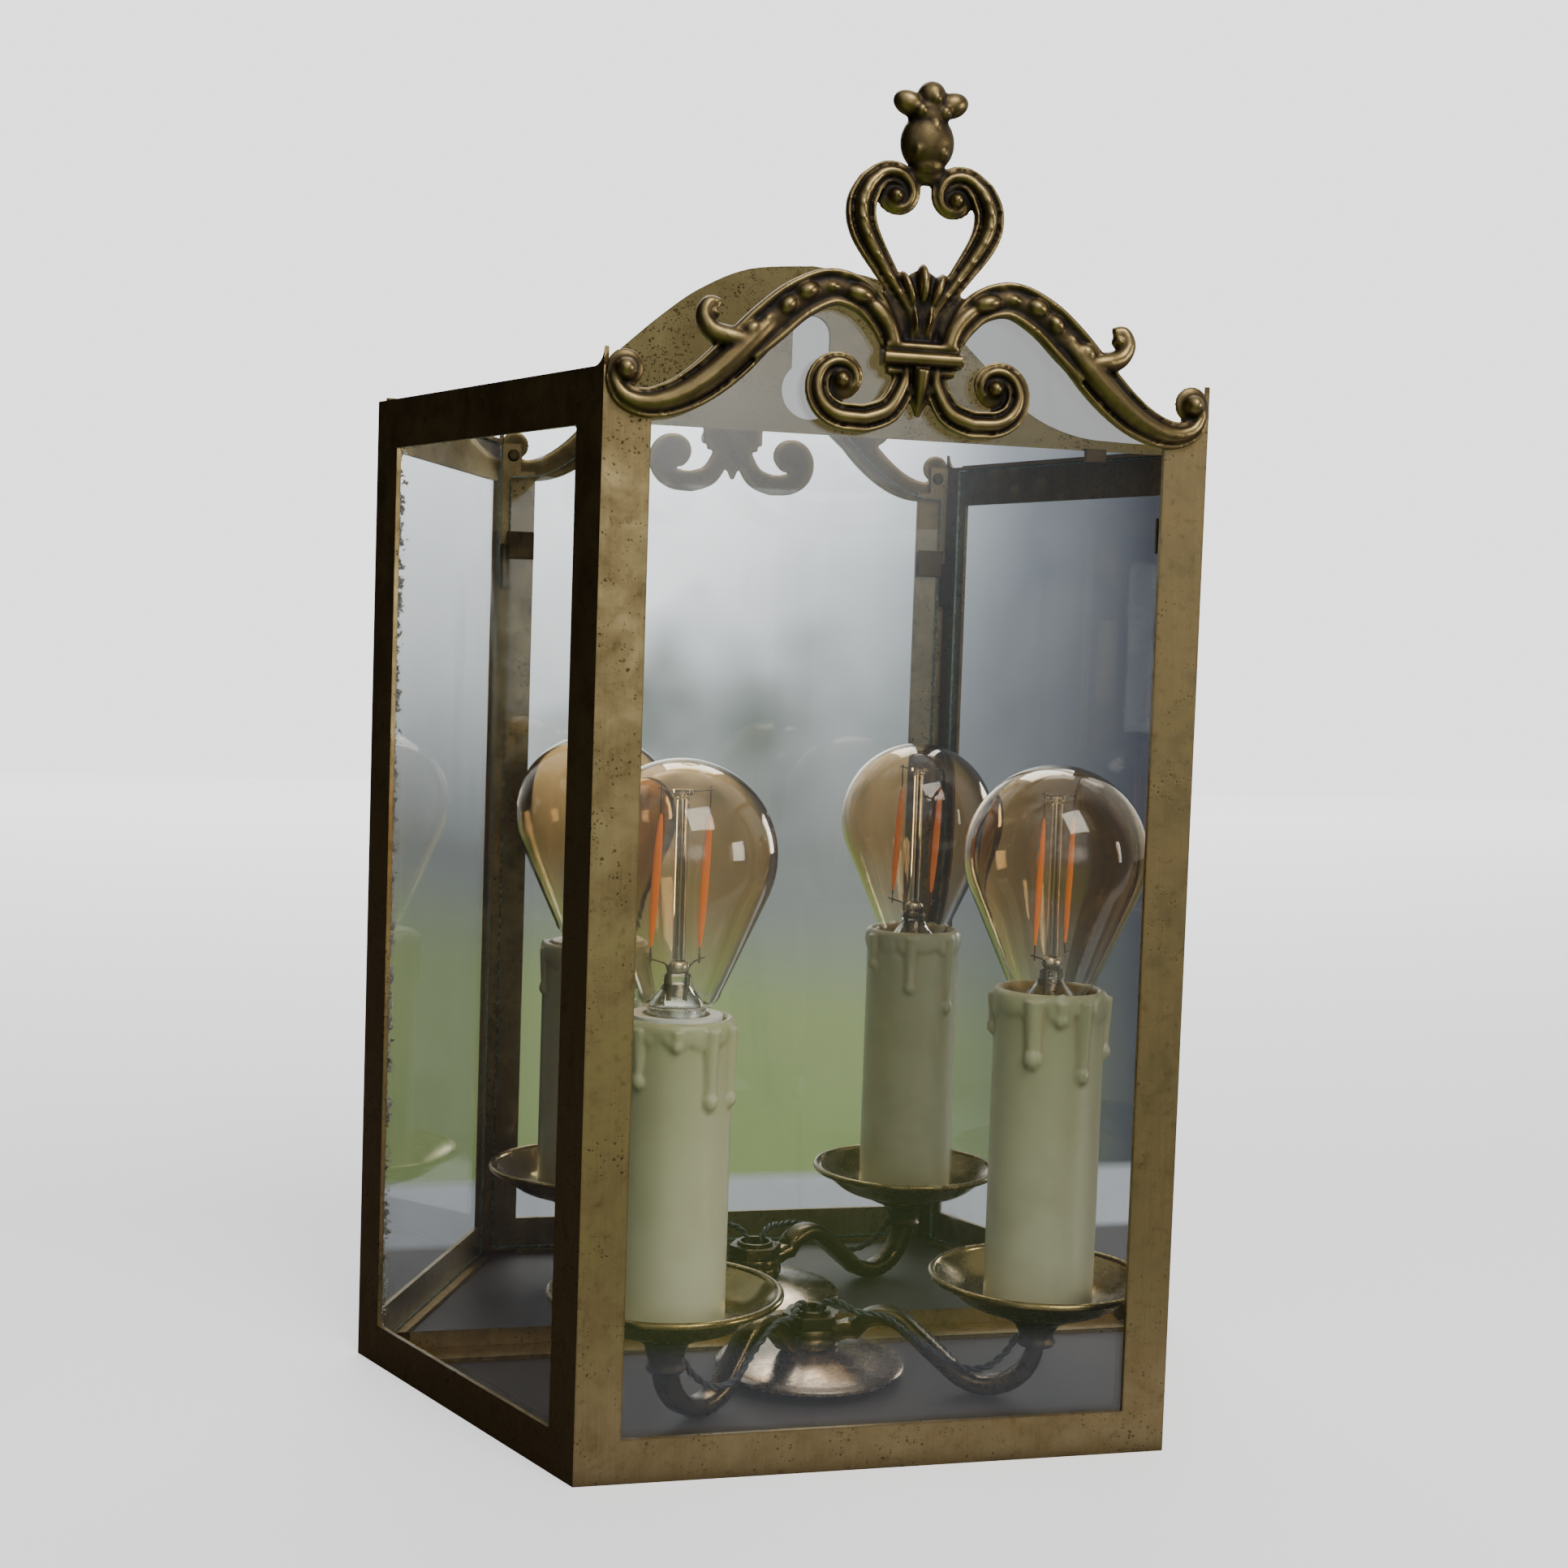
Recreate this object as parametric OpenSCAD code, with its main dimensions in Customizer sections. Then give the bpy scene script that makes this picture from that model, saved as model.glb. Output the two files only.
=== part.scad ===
// Two-light wall lantern: a brass frame with splayed glazed sides, a mirrored back plate with a
// hanging keyhole, a cast scroll crest, and two electric candles on arms from a centre disc.
// +X is right, +Y is towards the wall, +Z is up. The origin is the bottom centre of the whole.

/* [Frame] */
// Width of the front, over the corner posts
front_w = 139; // [134:1:144]
// Width of the back, at the wall
back_w = 222; // [218:1:228]
// Depth from the front flanges to the wall
frame_depth = 96.5; // [96:0.5:99]
// Height of the side frames
frame_h = 243; // [242:0.5:244]
// Width of a post or stile flange
post_w = 10.5; // [9:0.5:12]
// Height of the bottom rails
rail_h = 10; // [8:0.5:12]
// Height of the top rails at the sides
top_rail_h = 12; // [10:0.5:14]
// Thickness of the frame's brass sheet
sheet_t = 1.2; // [1:0.1:1.4]
// Width of the ledge under the panes
ledge_w = 6; // [5:0.5:7]

/* [Back and glass] */
// Thickness of the back plate
plate_t = 1; // [0.8:0.1:1.2]
// Height of the top of the back plate's arch
plate_top = 285; // [280:1:288]
// Thickness of the mirror
mirror_t = 2; // [1.5:0.5:2.5]
// Width of the mirror
mirror_w = 210.6; // [206:0.2:211]
// Height of the mirror's lower edge
mirror_low = 6; // [6:0.5:8]
// Height of the mirror's upper edge
mirror_high = 241; // [236:0.5:242]
// Thickness of the panes
pane_t = 2; // [1.6:0.2:2.2]
// Radius of the keyhole's round end
keyhole_r = 7.5; // [6.8:0.1:8]
// Width of the keyhole's slot
keyhole_slot = 10; // [8:0.5:10]

/* [Lamps] */
// Reach of the left arm, from the centre to the cup
left_reach = 53.2; // [52:0.1:54]
// Reach of the right arm, from the centre to the cup
right_reach = 57.1; // [55:0.1:57.5]
// Turn of the left arm forwards from the side
left_turn = 35.4; // [33:0.2:35.6]
// Turn of the right arm forwards from the side
right_turn = 26; // [25.6:0.2:28]
// Radius of a drip pan
pan_r = 27.5; // [26:0.5:27.5]
// Outer radius of a candle sleeve
sleeve_r = 13.5; // [13:0.1:14]
// Height of the right candle sleeve's top
sleeve_top = 103.6; // [101:0.2:104]
// How much lower the left candle sleeve's top is
left_sleeve_drop = 5; // [4:0.5:6]
// Extra height of the left drip pan
left_pan_lift = 2.5; // [2:0.1:2.8]
// Extra height of the right drip pan
right_pan_lift = 1; // [0.8:0.1:1.5]
// Radius of a bulb
bulb_r = 22.5; // [20:0.5:23]
// Height of a bulb's centre
bulb_z = 136; // [134:0.5:138]

/* [Crest] */
// Depth of the crest casting
crest_t = 5; // [4:0.5:6]
// Height of the finial's top
crest_top = 308.5; // [306:0.5:310]

/* [Hidden] */
$fn = 64;
small = 0.01;
total_depth = frame_depth + crest_t;
wall_y = total_depth / 2;
front_y = wall_y - frame_depth;
splay = (back_w - front_w) / 2;
side_len = sqrt(splay * splay + frame_depth * frame_depth);
side_angle = atan2(frame_depth, splay);
plate_front = wall_y - plate_t;
mirror_front = plate_front - mirror_t;
pane_gap = 0.2;
pane_in = sheet_t + pane_gap;
back_ledge = 10;
plate_half = back_w / 2 - sheet_t / sin(side_angle) - plate_t / tan(side_angle) - 0.1;

// Lamp cluster
centre_y = 16.8;
strap_t = 1.5;
strap_w = 14;
disc_r = 24;
nipple_r = 5;
eye_r = 7.5;
eye_t = 2.4;
eye_low = 9;
arm_w = 7;
arm_t = 4.2;
arm_low = 2.8;
crest_arc_r = 8.5;
crest_arc_s = 19;
crest_arc_z = 9.3;
dip_arc_r = 12.5;
neck_low = 14;
pan_low = 22.9;
pan_rim = 31.5;
stud_r = 3.5;
stud_bore = 2;
sleeve_low = 24.1;
sleeve_wall = 1.5;
mouth_r = 11.3;
holder_r = 10.8;
shell_r = 7.9;
cap_r = 7;
cap_low = 81;
cap_high = 101;
glass_t = 0.8;
neck_r = 10.3;
neck_z = 104;
wire_d = 2;

brass = [0.62, 0.52, 0.3];
dark_brass = [0.3, 0.24, 0.15];
steel = [0.7, 0.7, 0.72];
ivory = [0.86, 0.83, 0.68];
amber = [0.8, 0.62, 0.42, 0.4];
clear = [0.8, 0.9, 0.9, 0.35];

SIDES = ["left", "right"];

// ---- helpers ----

// Points along a spiral arc, from radius r0 at angle a0 to radius r1 at angle a1.
function spiral(c, r0, r1, a0, a1, n = 14) =
    [for (i = [0 : n]) let (t = i / n, r = r0 + (r1 - r0) * t, a = a0 + (a1 - a0) * t)
        c + r * [cos(a), sin(a)]];

// One stretch of a Catmull-Rom curve, for points of any dimension.
function catmull(a, b, c, d, t) =
    0.5 * (2 * b + (c - a) * t + (2 * a - 5 * b + 4 * c - d) * t * t
    + (3 * b - a - 3 * c + d) * t * t * t);

// A smooth curve through the points p, with n steps between each pair.
function smooth(p, n = 5) = let (last = len(p) - 1)
    [for (i = [0 : last - 1], k = [0 : n - 1])
        catmull(p[max(i - 1, 0)], p[i], p[i + 1], p[min(i + 2, last)], k / n), p[last]];

// A band along the points [x, y, width], with round joints.
module ribbon(p) {
    for (i = [0 : len(p) - 2]) hull() {
        translate([p[i][0], p[i][1]]) circle(d = p[i][2], $fn = 20);
        translate([p[i + 1][0], p[i + 1][1]]) circle(d = p[i + 1][2], $fn = 20);
    }
}

// A band of width w along an arc of radius r.
module arc_band(r, w, from, to) {
    steps = 6;
    reach = 2 * r + w;
    intersection() {
        difference() {
            circle(r + w / 2);
            circle(r - w / 2);
        }
        polygon([[0, 0], for (i = [0 : steps]) let (a = from + (to - from) * i / steps)
            reach * [cos(a), sin(a)]]);
    }
}

// A straight band of width w from p to q.
module straight_band(p, q, w) {
    d = q - p;
    side = [-d[1], d[0]] / norm(d) * w / 2;
    polygon([p + side, q + side, q - side, p - side]);
}

// Puts a child on one of the splayed sides: X runs from the wall to the front, Y inwards.
module on_side(side) {
    mirror([side == "right" ? 1 : 0, 0, 0])
        translate([-back_w / 2, wall_y, 0]) rotate([0, 0, -side_angle]) children();
}

// Stands a drawing of X and Z up in space, with its front at y and its depth t behind that.
module upright(y, t) {
    translate([0, y + t, 0]) rotate([90, 0, 0]) linear_extrude(t) children();
}

function reach_of(side) = side == "left" ? left_reach : right_reach;
function lift_of(side) = side == "left" ? left_pan_lift : right_pan_lift;

// Turns the lamp cluster's X axis along one of the arms, with its origin at the centre.
module along_arm(side) {
    translate([0, centre_y, 0])
        rotate([0, 0, side == "left" ? 180 + left_turn : -right_turn]) children();
}

// Puts a child on a lamp's own axis.
module on_lamp(side) {
    along_arm(side) translate([reach_of(side), 0, 0]) children();
}

module ring(r, bore, z0, z1) {
    translate([0, 0, z0]) difference() {
        cylinder(r = r, h = z1 - z0);
        translate([0, 0, -1]) cylinder(r = bore, h = z1 - z0 + 2);
    }
}

// ---- frame ----

module corner_post(side) {
    ear = 4;
    color(brass) {
        on_side(side) translate([side_len - post_w, 0, 0]) union() {
            cube([post_w, sheet_t, frame_h]);
            translate([post_w - ear, sheet_t, frame_h - small]) rotate([90, 0, 0])
                linear_extrude(sheet_t) difference() {
                    square(ear);
                    translate([0, ear]) circle(ear);
                }
        }
        mirror([side == "right" ? 1 : 0, 0, 0]) upright(front_y, sheet_t) {
            translate([-front_w / 2, 0]) square([post_w, frame_h - 8]);
            translate([-front_w / 2, 0]) square([post_w * 0.6, frame_h]);
        }
    }
}

module rear_stile(side) {
    return_w = 3;
    color(brass) {
        on_side(side) cube([post_w, sheet_t, frame_h]);
        mirror([side == "right" ? 1 : 0, 0, 0])
            translate([-plate_half, plate_front - sheet_t, 0]) cube([return_w, sheet_t, frame_h]);
    }
}

module side_top_rail(side) {
    lip = 4;
    color(brass) on_side(side) translate([post_w, 0, frame_h - top_rail_h]) {
        cube([side_len - 2 * post_w, sheet_t, top_rail_h]);
        translate([0, 0, top_rail_h - sheet_t]) cube([side_len - 2 * post_w, lip, sheet_t]);
    }
}

module side_bottom_rail(side) {
    color(brass) on_side(side) translate([post_w, 0, 0]) {
        cube([side_len - 2 * post_w, sheet_t, rail_h]);
        cube([side_len - 2 * post_w, ledge_w, sheet_t]);
    }
}

module front_bottom_rail() {
    inner_w = front_w - 2 * post_w;
    color(brass) translate([-inner_w / 2, front_y, 0]) {
        cube([inner_w, sheet_t, rail_h]);
        cube([inner_w, ledge_w, sheet_t]);
    }
}

// The channel along the foot of the back plate. The mirror stands on it.
module back_bottom_rail() {
    rail_w = 194;
    rivet_r = 1.5;
    color(brass) difference() {
        union() {
            translate([-rail_w / 2, plate_front - sheet_t, 0]) cube([rail_w, sheet_t, mirror_low]);
            translate([-rail_w / 2, plate_front - back_ledge, 0]) cube([rail_w, back_ledge, sheet_t]);
        }
        for (x = [-4, 4]) translate([x, plate_front - back_ledge / 2, -1])
            cylinder(r = rivet_r, h = sheet_t + 2);
    }
}

// ---- back ----

// Half of the back plate's outline: a shoulder, a hollow and a round top.
module plate_outline() {
    shoulder = frame_h + 1;
    half_curve = smooth([[plate_half, shoulder], [88, shoulder], [74, shoulder + 1.2],
        [61, 250.5], [49.5, 261], [40, 269.5], [30, 277], [17, 283], [0, plate_top]], 6);
    polygon([[plate_half, 0], for (q = half_curve) q,
        for (i = [len(half_curve) - 2 : -1 : 0]) [-half_curve[i][0], half_curve[i][1]],
        [-plate_half, 0]]);
}

module keyhole() {
    hole_z = 252.5;
    slot_top = 272;
    translate([0, hole_z]) circle(keyhole_r);
    translate([-keyhole_slot / 2, hole_z]) square([keyhole_slot, slot_top - hole_z - keyhole_slot / 2]);
    translate([0, slot_top - keyhole_slot / 2]) circle(keyhole_slot / 2);
}

module back_plate() {
    color(brass) upright(plate_front, plate_t) difference() {
        plate_outline();
        keyhole();
    }
}

module mirror_glass() {
    color("silver") translate([-mirror_w / 2, mirror_front, mirror_low])
        cube([mirror_w, mirror_t, mirror_high - mirror_low]);
}

// Small tabs that hook over the mirror's top edge.
module mirror_tabs() {
    tab_w = 6;
    tab_h = 3;
    tab_t = 0.6;
    color(dark_brass) for (x = [-80, 80]) translate([x - tab_w / 2, 0, 0]) {
        translate([0, mirror_front - tab_t, mirror_high - tab_h])
            cube([tab_w, tab_t, tab_h + tab_t]);
        translate([0, mirror_front - small, mirror_high])
            cube([tab_w, mirror_t + small, tab_t]);
    }
}

// ---- panes ----

// The front pane's top follows the crest's underside.
module front_pane() {
    half = front_w / 2 - 3.2;
    low = sheet_t + pane_gap;
    arch = smooth([[half, 233], [56, 234.5], [46, 241], [36, 250], [26, 259], [16, 262], [0, 262]], 5);
    color(clear) upright(front_y + pane_in, pane_t)
        polygon([[half, low], for (q = arch) q,
            for (i = [len(arch) - 2 : -1 : 0]) [-arch[i][0], arch[i][1]], [-half, low]]);
}

module side_pane(side) {
    from = 4.5;
    to = 8;
    low = sheet_t + pane_gap;
    high = frame_h - sheet_t - pane_gap;
    color(clear) on_side(side) translate([from, pane_in, low])
        cube([side_len - from - to, pane_t, high - low]);
}

// A bent tab soldered inside a corner post, with one leg behind each pane.
module pane_clip(side) {
    clip_t = 0.8;
    clip_z = 209;
    clip_h = 8;
    leg_w = 8;
    leg_drop = 9;
    web_t = 1;
    half_corner = (180 - side_angle) / 2;
    stand = pane_in + pane_t + 0.1;
    web_from = sheet_t / sin(half_corner) + web_t / 2 / tan(half_corner);
    web_to = (stand + clip_t / 2) / sin(half_corner);
    leg_from = stand / tan(half_corner);
    color(dark_brass) union() {
        mirror([side == "right" ? 1 : 0, 0, 0]) translate([-front_w / 2, front_y, clip_z]) {
            translate([leg_from, stand, 0]) cube([leg_w, clip_t, clip_h]);
            rotate([0, 0, half_corner]) translate([web_from, -web_t / 2, 0])
                cube([web_to - web_from, web_t, clip_h / 2]);
        }
        on_side(side) translate([side_len - leg_from - leg_w * 0.7, stand, clip_z - leg_drop])
            cube([leg_w * 0.7, clip_t, leg_drop + clip_h / 2]);
    }
}

// ---- crest ----

crest_arm = smooth([[6.5, 251, 5], [13, 261, 7], [21, 262.8, 7.8], [34, 254, 9.2], [48, 240.8, 8],
    [60, 235.2, 6.2], [67.3, 238.6, 4.4], [67, 243.6, 3.4]]);
crest_heart = smooth([[2.5, 259, 4], [8.5, 267, 5], [14.4, 277, 6.6], [13.2, 285.4, 6],
    [8, 288.2, 4.6]]);
crest_scroll = smooth([[3.4, 247, 5], [5, 239.6, 5.8], [12, 234.7, 6], [19.6, 236.2, 5.6],
    [23.2, 241.8, 5]]);

// The right half of the crest, as a drawing.
module crest_half() {
    ribbon(crest_arm);
    translate([65, 242.6]) circle(4.4);
    ribbon(crest_heart);
    ribbon([for (q = spiral([6.4, 283.4], 4.9, 2, 70, 330)) [q[0], q[1], 3.6]]);
    ribbon(crest_scroll);
    ribbon([for (q = spiral([18, 243.7], 5.4, 1.8, -18, 200)) [q[0], q[1], 4]]);
    // The small curl on top of the arm
    ribbon(smooth([[40, 251, 4], [44.6, 250.6, 4], [48.2, 253.6, 3], [46.8, 256.4, 4]]));
}

module finial_outline() {
    ribbon([[0, 288, 9], [0, 295, 12.4], [0, 300, 9.4], [0, crest_top - 2.9, 5.8]]);
    for (x = [-1, 1]) ribbon([[0, 302.5, 5], [x * 5.6, 303.8, 4.2]]);
}

module crest() {
    band_half = 9.1;
    color(dark_brass) upright(-wall_y, crest_t) {
        crest_half();
        mirror([1, 0]) crest_half();
        finial_outline();
        translate([-band_half, 244.9]) square([2 * band_half, 7.2]);
        // The palmette between the heart's legs, and the leaf below the band
        polygon([[0, 251], [-6, 266], [-2, 269.5], [2, 269.5], [6, 266]]);
        polygon([[-3, 245], [0, 235], [3, 245]]);
    }
}

// Rivets through the front flanges into the back of the crest.
module crest_rivets() {
    rivet_z = 239.5;
    head_t = 0.8;
    color(dark_brass) for (x = [-65.5, 65.5])
        translate([x, front_y + sheet_t, rivet_z]) rotate([-90, 0, 0])
            cylinder(r1 = 1.8, r2 = 1.2, h = head_t);
}

// ---- lamp cluster ----

module lamp_strap() {
    strap_from = centre_y - 9;
    strap_to = plate_front - sheet_t - 0.05;
    color(brass) difference() {
        translate([-strap_w / 2, strap_from, sheet_t])
            cube([strap_w, strap_to - strap_from, strap_t]);
        translate([0, centre_y, 0]) cylinder(r = nipple_r, h = 5);
        for (x = [-4, 4]) translate([x, plate_front - back_ledge / 2, 0])
            cylinder(r = 1.5, h = 5);
    }
}

module strap_rivets() {
    top = sheet_t + strap_t;
    color(dark_brass) for (x = [-4, 4]) translate([x, plate_front - back_ledge / 2, 0]) {
        translate([0, 0, 0.1]) cylinder(r = 1.5, h = top - 0.1);
        translate([0, 0, top]) cylinder(r1 = 2.6, r2 = 1.6, h = 1);
    }
}

// A shallow dome under the arms, hollow below.
module base_disc() {
    rim_low = 3;
    wall = 1.2;
    crown = 9.2;
    function dome(r, lift) = rim_low + lift + (crown - wall - rim_low) * pow(cos(90 * r / disc_r), 0.8);
    color(brass) translate([0, centre_y, 0]) rotate_extrude() polygon([
        for (r = [nipple_r + 0.1 : 2.35 : disc_r]) [r, dome(r, wall)],
        [disc_r, rim_low + wall], [disc_r, rim_low],
        for (r = [disc_r - 1.4 : -2.1 : nipple_r + 0.1]) [r, dome(r, 0)]]);
}

module centre_nipple() {
    color(brass) translate([0, centre_y, 0]) ring(nipple_r, nipple_r - 1, 0.4, 18);
}

module centre_nut() {
    low = eye_low + 2 * eye_t + 0.2;
    color(brass) translate([0, centre_y, low]) difference() {
        cylinder(r = 7.5, h = 3, $fn = 6);
        translate([0, 0, -1]) cylinder(r = nipple_r + 0.05, h = 5);
    }
}

// An arm: an eye on the nipple, a crest, and a dip that turns up under the cup.
module arm(side) {
    reach = reach_of(side);
    eye_z = side == "left" ? eye_low : eye_low + eye_t + 0.05;
    dip_s = reach - dip_arc_r;
    dip_z = arm_low + dip_arc_r;
    rise = [crest_arc_s, crest_arc_z];
    leave = rise + crest_arc_r * [cos(50), sin(50)];
    meet = [dip_s, dip_z] + dip_arc_r * [cos(228), sin(228)];
    arrive = rise + crest_arc_r * [cos(150), sin(150)];
    color(brass) along_arm(side) difference() {
        union() {
            translate([0, arm_w / 2, 0]) rotate([90, 0, 0]) linear_extrude(arm_w) {
                translate(rise) arc_band(crest_arc_r, arm_t, 49, 151);
                straight_band(leave, meet, arm_t);
                translate([dip_s, dip_z]) arc_band(dip_arc_r, arm_t, 226, 355);
                polygon([arrive + [0.6, 2], arrive + [1.4, -2], [eye_r - 1, eye_z],
                    [eye_r - 1, eye_z + eye_t], [eye_r + 0.1, eye_z + eye_t]]);
            }
            translate([0, 0, eye_z]) cylinder(r = eye_r, h = eye_t);
        }
        translate([0, 0, eye_z - 5]) cylinder(r = nipple_r + 0.1, h = eye_t + 10);
    }
}

// The turned neck between an arm and its drip pan.
module neck(side) {
    lift = lift_of(side);
    color(brass) on_lamp(side) rotate_extrude() polygon([[stud_r + 0.05, neck_low + 0.4],
        [4.4, neck_low + 0.4], [4.3, 16.5], [5, 18 + lift], [6.6, 19.6 + lift], [9.6, 20.8 + lift],
        [9.9, 21.6 + lift], [9.2, pan_low - 0.1 + lift], [stud_r + 0.05, pan_low - 0.1 + lift]]);
}

// A dished pan with a rolled rim.
module drip_pan(side) {
    wall = 1.1;
    outer = smooth([[14.6, pan_low], [19, 24.7], [23.5, 28.2], [pan_r - 0.9, pan_rim - 1.1]], 4);
    color(brass) on_lamp(side) translate([0, 0, lift_of(side)]) {
        rotate_extrude() polygon([[stud_r + 0.05, pan_low], for (q = outer) q,
            for (i = [len(outer) - 1 : -1 : 0]) outer[i] + [-0.35, wall],
            [stud_r + 0.05, pan_low + wall]]);
        rotate_extrude() translate([pan_r - 1, pan_rim - 0.9]) circle(0.9);
    }
}

// The hollow stud that clamps neck, pan and lampholder, and carries the wire.
module stud(side) {
    color(steel) on_lamp(side) ring(stud_r, stud_bore, neck_low + 1, pan_low + 7 + lift_of(side));
}

// A bent steel strip from the stud up to the lampholder.
module holder_bracket(side) {
    strip_t = 1;
    low = pan_low + 1.2 + lift_of(side);
    high = 64;
    color(steel) on_lamp(side) {
        difference() {
            translate([-9, -4, low]) cube([18, 8, strip_t]);
            translate([0, 0, low - 1]) cylinder(r = stud_r + 0.05, h = 4);
        }
        for (x = [-1, 1]) translate([x * 8.5 - strip_t / 2, -4, low])
            cube([strip_t, 8, high - low]);
        ring(6.3, stud_r + 0.05, low + strip_t - small, low + 5);
    }
}

module holder_body(side) {
    low = 64.1;
    high = 99;
    color(ivory) on_lamp(side) difference() {
        translate([0, 0, low]) cylinder(r = holder_r, h = high - low);
        translate([0, 0, 76]) cylinder(r = shell_r + 0.05, h = 40);
        for (x = [-4, 4]) translate([x, 0, low - 1]) cylinder(r = 1.3, h = 6);
    }
}

module thread_shell(side) {
    color(brass) on_lamp(side) ring(shell_r, cap_r + 0.25, 79, 97.5);
}

// The sprung tongue under the bulb's foot.
module contact(side) {
    color(brass) on_lamp(side) {
        translate([-5, -1.5, 76.1]) cube([10, 3, 0.6]);
        translate([0, 0, 76.6]) cylinder(r1 = 3, r2 = 1.4, h = 2);
    }
}

// A candle sleeve with a rolled mouth and wax drips down its side.
module candle_sleeve(side) {
    top = side == "left" ? sleeve_top - left_sleeve_drop : sleeve_top;
    low = sleeve_low + lift_of(side);
    bore = sleeve_r - sleeve_wall;
    drips = [[-100, 20, 1.5], [-62, 12, 1.3], [-150, 24, 1.6], [20, 16, 1.4], [70, 22, 1.6],
        [140, 13, 1.3]];
    color(ivory) on_lamp(side) {
        rotate_extrude() polygon([[bore, low], [sleeve_r, low], [sleeve_r, top - 5],
            [sleeve_r + 0.6, top - 3], [sleeve_r + 0.5, top - 1], [sleeve_r - 0.6, top],
            [mouth_r, top], [mouth_r, top - 1.4], [bore, top - 3]]);
        for (d = drips) rotate([0, 0, d[0]]) translate([sleeve_r - 0.3, 0, top - 2 - d[1]]) {
            sphere(d[2], $fn = 24);
            cylinder(r1 = d[2] * 0.7, r2 = d[2], h = d[1], $fn = 24);
        }
    }
}

module bulb_cap(side) {
    color(steel) on_lamp(side) {
        translate([0, 0, cap_low]) cylinder(r = cap_r, h = cap_high - cap_low);
        translate([0, 0, cap_low - 1.2]) cylinder(r1 = 2.4, r2 = 4.5, h = 1.2 + small);
    }
}

// Where the straight flank of the envelope touches the sphere.
flank_drop = bulb_z - neck_z;
flank_angle = atan2(flank_drop, neck_r)
    - acos(bulb_r / sqrt(flank_drop * flank_drop + neck_r * neck_r));

// The envelope's profile, inset by t.
function envelope(t) = [[0, bulb_z + bulb_r - t],
    for (a = [80 : -10 : -20]) [(bulb_r - t) * cos(a), bulb_z + (bulb_r - t) * sin(a)],
    [(bulb_r - t) * cos(flank_angle), bulb_z - (bulb_r - t) * sin(flank_angle)],
    [neck_r - t, neck_z], [neck_r - 0.7 - t, neck_z - 1.6], [neck_r - 1.6 - t, cap_high + 0.1]];

module bulb_glass(side) {
    inner = envelope(glass_t);
    color(amber) on_lamp(side) rotate_extrude() polygon([for (q = envelope(0)) q,
        for (i = [len(inner) - 1 : -1 : 0]) inner[i]]);
}

// The pinch and the rod that carry the filaments.
module bulb_stem(side) {
    color(clear) on_lamp(side) {
        translate([0, 0, cap_high + 0.1]) cylinder(r1 = 6.5, r2 = 3.6, h = 5);
        translate([0, 0, cap_high + 5]) cylinder(r = 3.6, h = 5);
        translate([0, 0, cap_high + 10 - small]) cylinder(r = 1.3, h = 39);
        translate([0, 0, cap_high + 49 - small]) cylinder(r = 2.2, h = 1.2);
    }
}

// A pair of upright filaments, side by side along X.
module filaments(side) {
    spread = 5.8;
    color("orange") on_lamp(side) rotate([0, 0, side == "left" ? -(180 + left_turn) : right_turn])
        for (x = [-spread, spread]) translate([x, 0, cap_high + 12]) cylinder(r = 1, h = 33);
}

// ---- wires ----

// Frames of a tube of n sides along the points p, and the polyhedron that joins them.
function unit(v) = v / norm(v);
function tangent(p, i) = unit(p[min(i + 1, len(p) - 1)] - p[max(i - 1, 0)]);
module tube(p, d, n = 8) {
    rings = [for (i = [0 : len(p) - 1]) let (t = tangent(p, i), u = unit(cross(t, [0.1, 1, 0.2])),
        v = cross(t, u)) for (k = [0 : n - 1]) p[i] + d / 2 * (u * cos(360 * k / n) + v * sin(360 * k / n))];
    last = len(p) - 1;
    polyhedron(rings, [
        [for (k = [n - 1 : -1 : 0]) k],
        for (i = [0 : last - 1], k = [0 : n - 1]) let (a = i * n + k, b = i * n + (k + 1) % n)
            [a, b, b + n, a + n],
        [for (k = [0 : n - 1]) last * n + k]]);
}

// Points of a wire along its arm: distance from the centre, offset to the front, height.
function wire_route(reach, hand) = smooth([[1.6, 0, 1.5], [1.6, 0, 9], [1.8, 0, 15.5],
    [3.4, 0.5 * hand, 19.4], [7.5, 2 * hand, 20.6], [13, 4.9 * hand, 19.4], [20, 5.1 * hand, 19],
    [27, 5.1 * hand, 14.6], [reach - 19, 5 * hand, 8.6], [reach - 12, 4 * hand, 8.4],
    [reach - 7, 2 * hand, 12.4], [reach - 4.7, 0.6 * hand, 16.4]], 3);

module wire(side) {
    color([0.08, 0.08, 0.08]) along_arm(side)
        tube(wire_route(reach_of(side), side == "left" ? 1 : -1), wire_d);
}

// ---- nodes ----

for (side = SIDES) {
    corner_post(side);
    rear_stile(side);
    side_top_rail(side);
    side_bottom_rail(side);
    side_pane(side);
    pane_clip(side);
    arm(side);
    neck(side);
    drip_pan(side);
    stud(side);
    holder_bracket(side);
    holder_body(side);
    thread_shell(side);
    contact(side);
    candle_sleeve(side);
    bulb_cap(side);
    bulb_glass(side);
    bulb_stem(side);
    filaments(side);
    wire(side);
}
front_bottom_rail();
back_bottom_rail();
back_plate();
mirror_glass();  // mirror
mirror_tabs();
front_pane();
crest();
crest_rivets();
lamp_strap();
strap_rivets();
base_disc();
centre_nipple();
centre_nut();
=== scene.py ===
import bpy
import bmesh
import math
import random
import numpy as np
from mathutils import Matrix, Vector, noise


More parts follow.
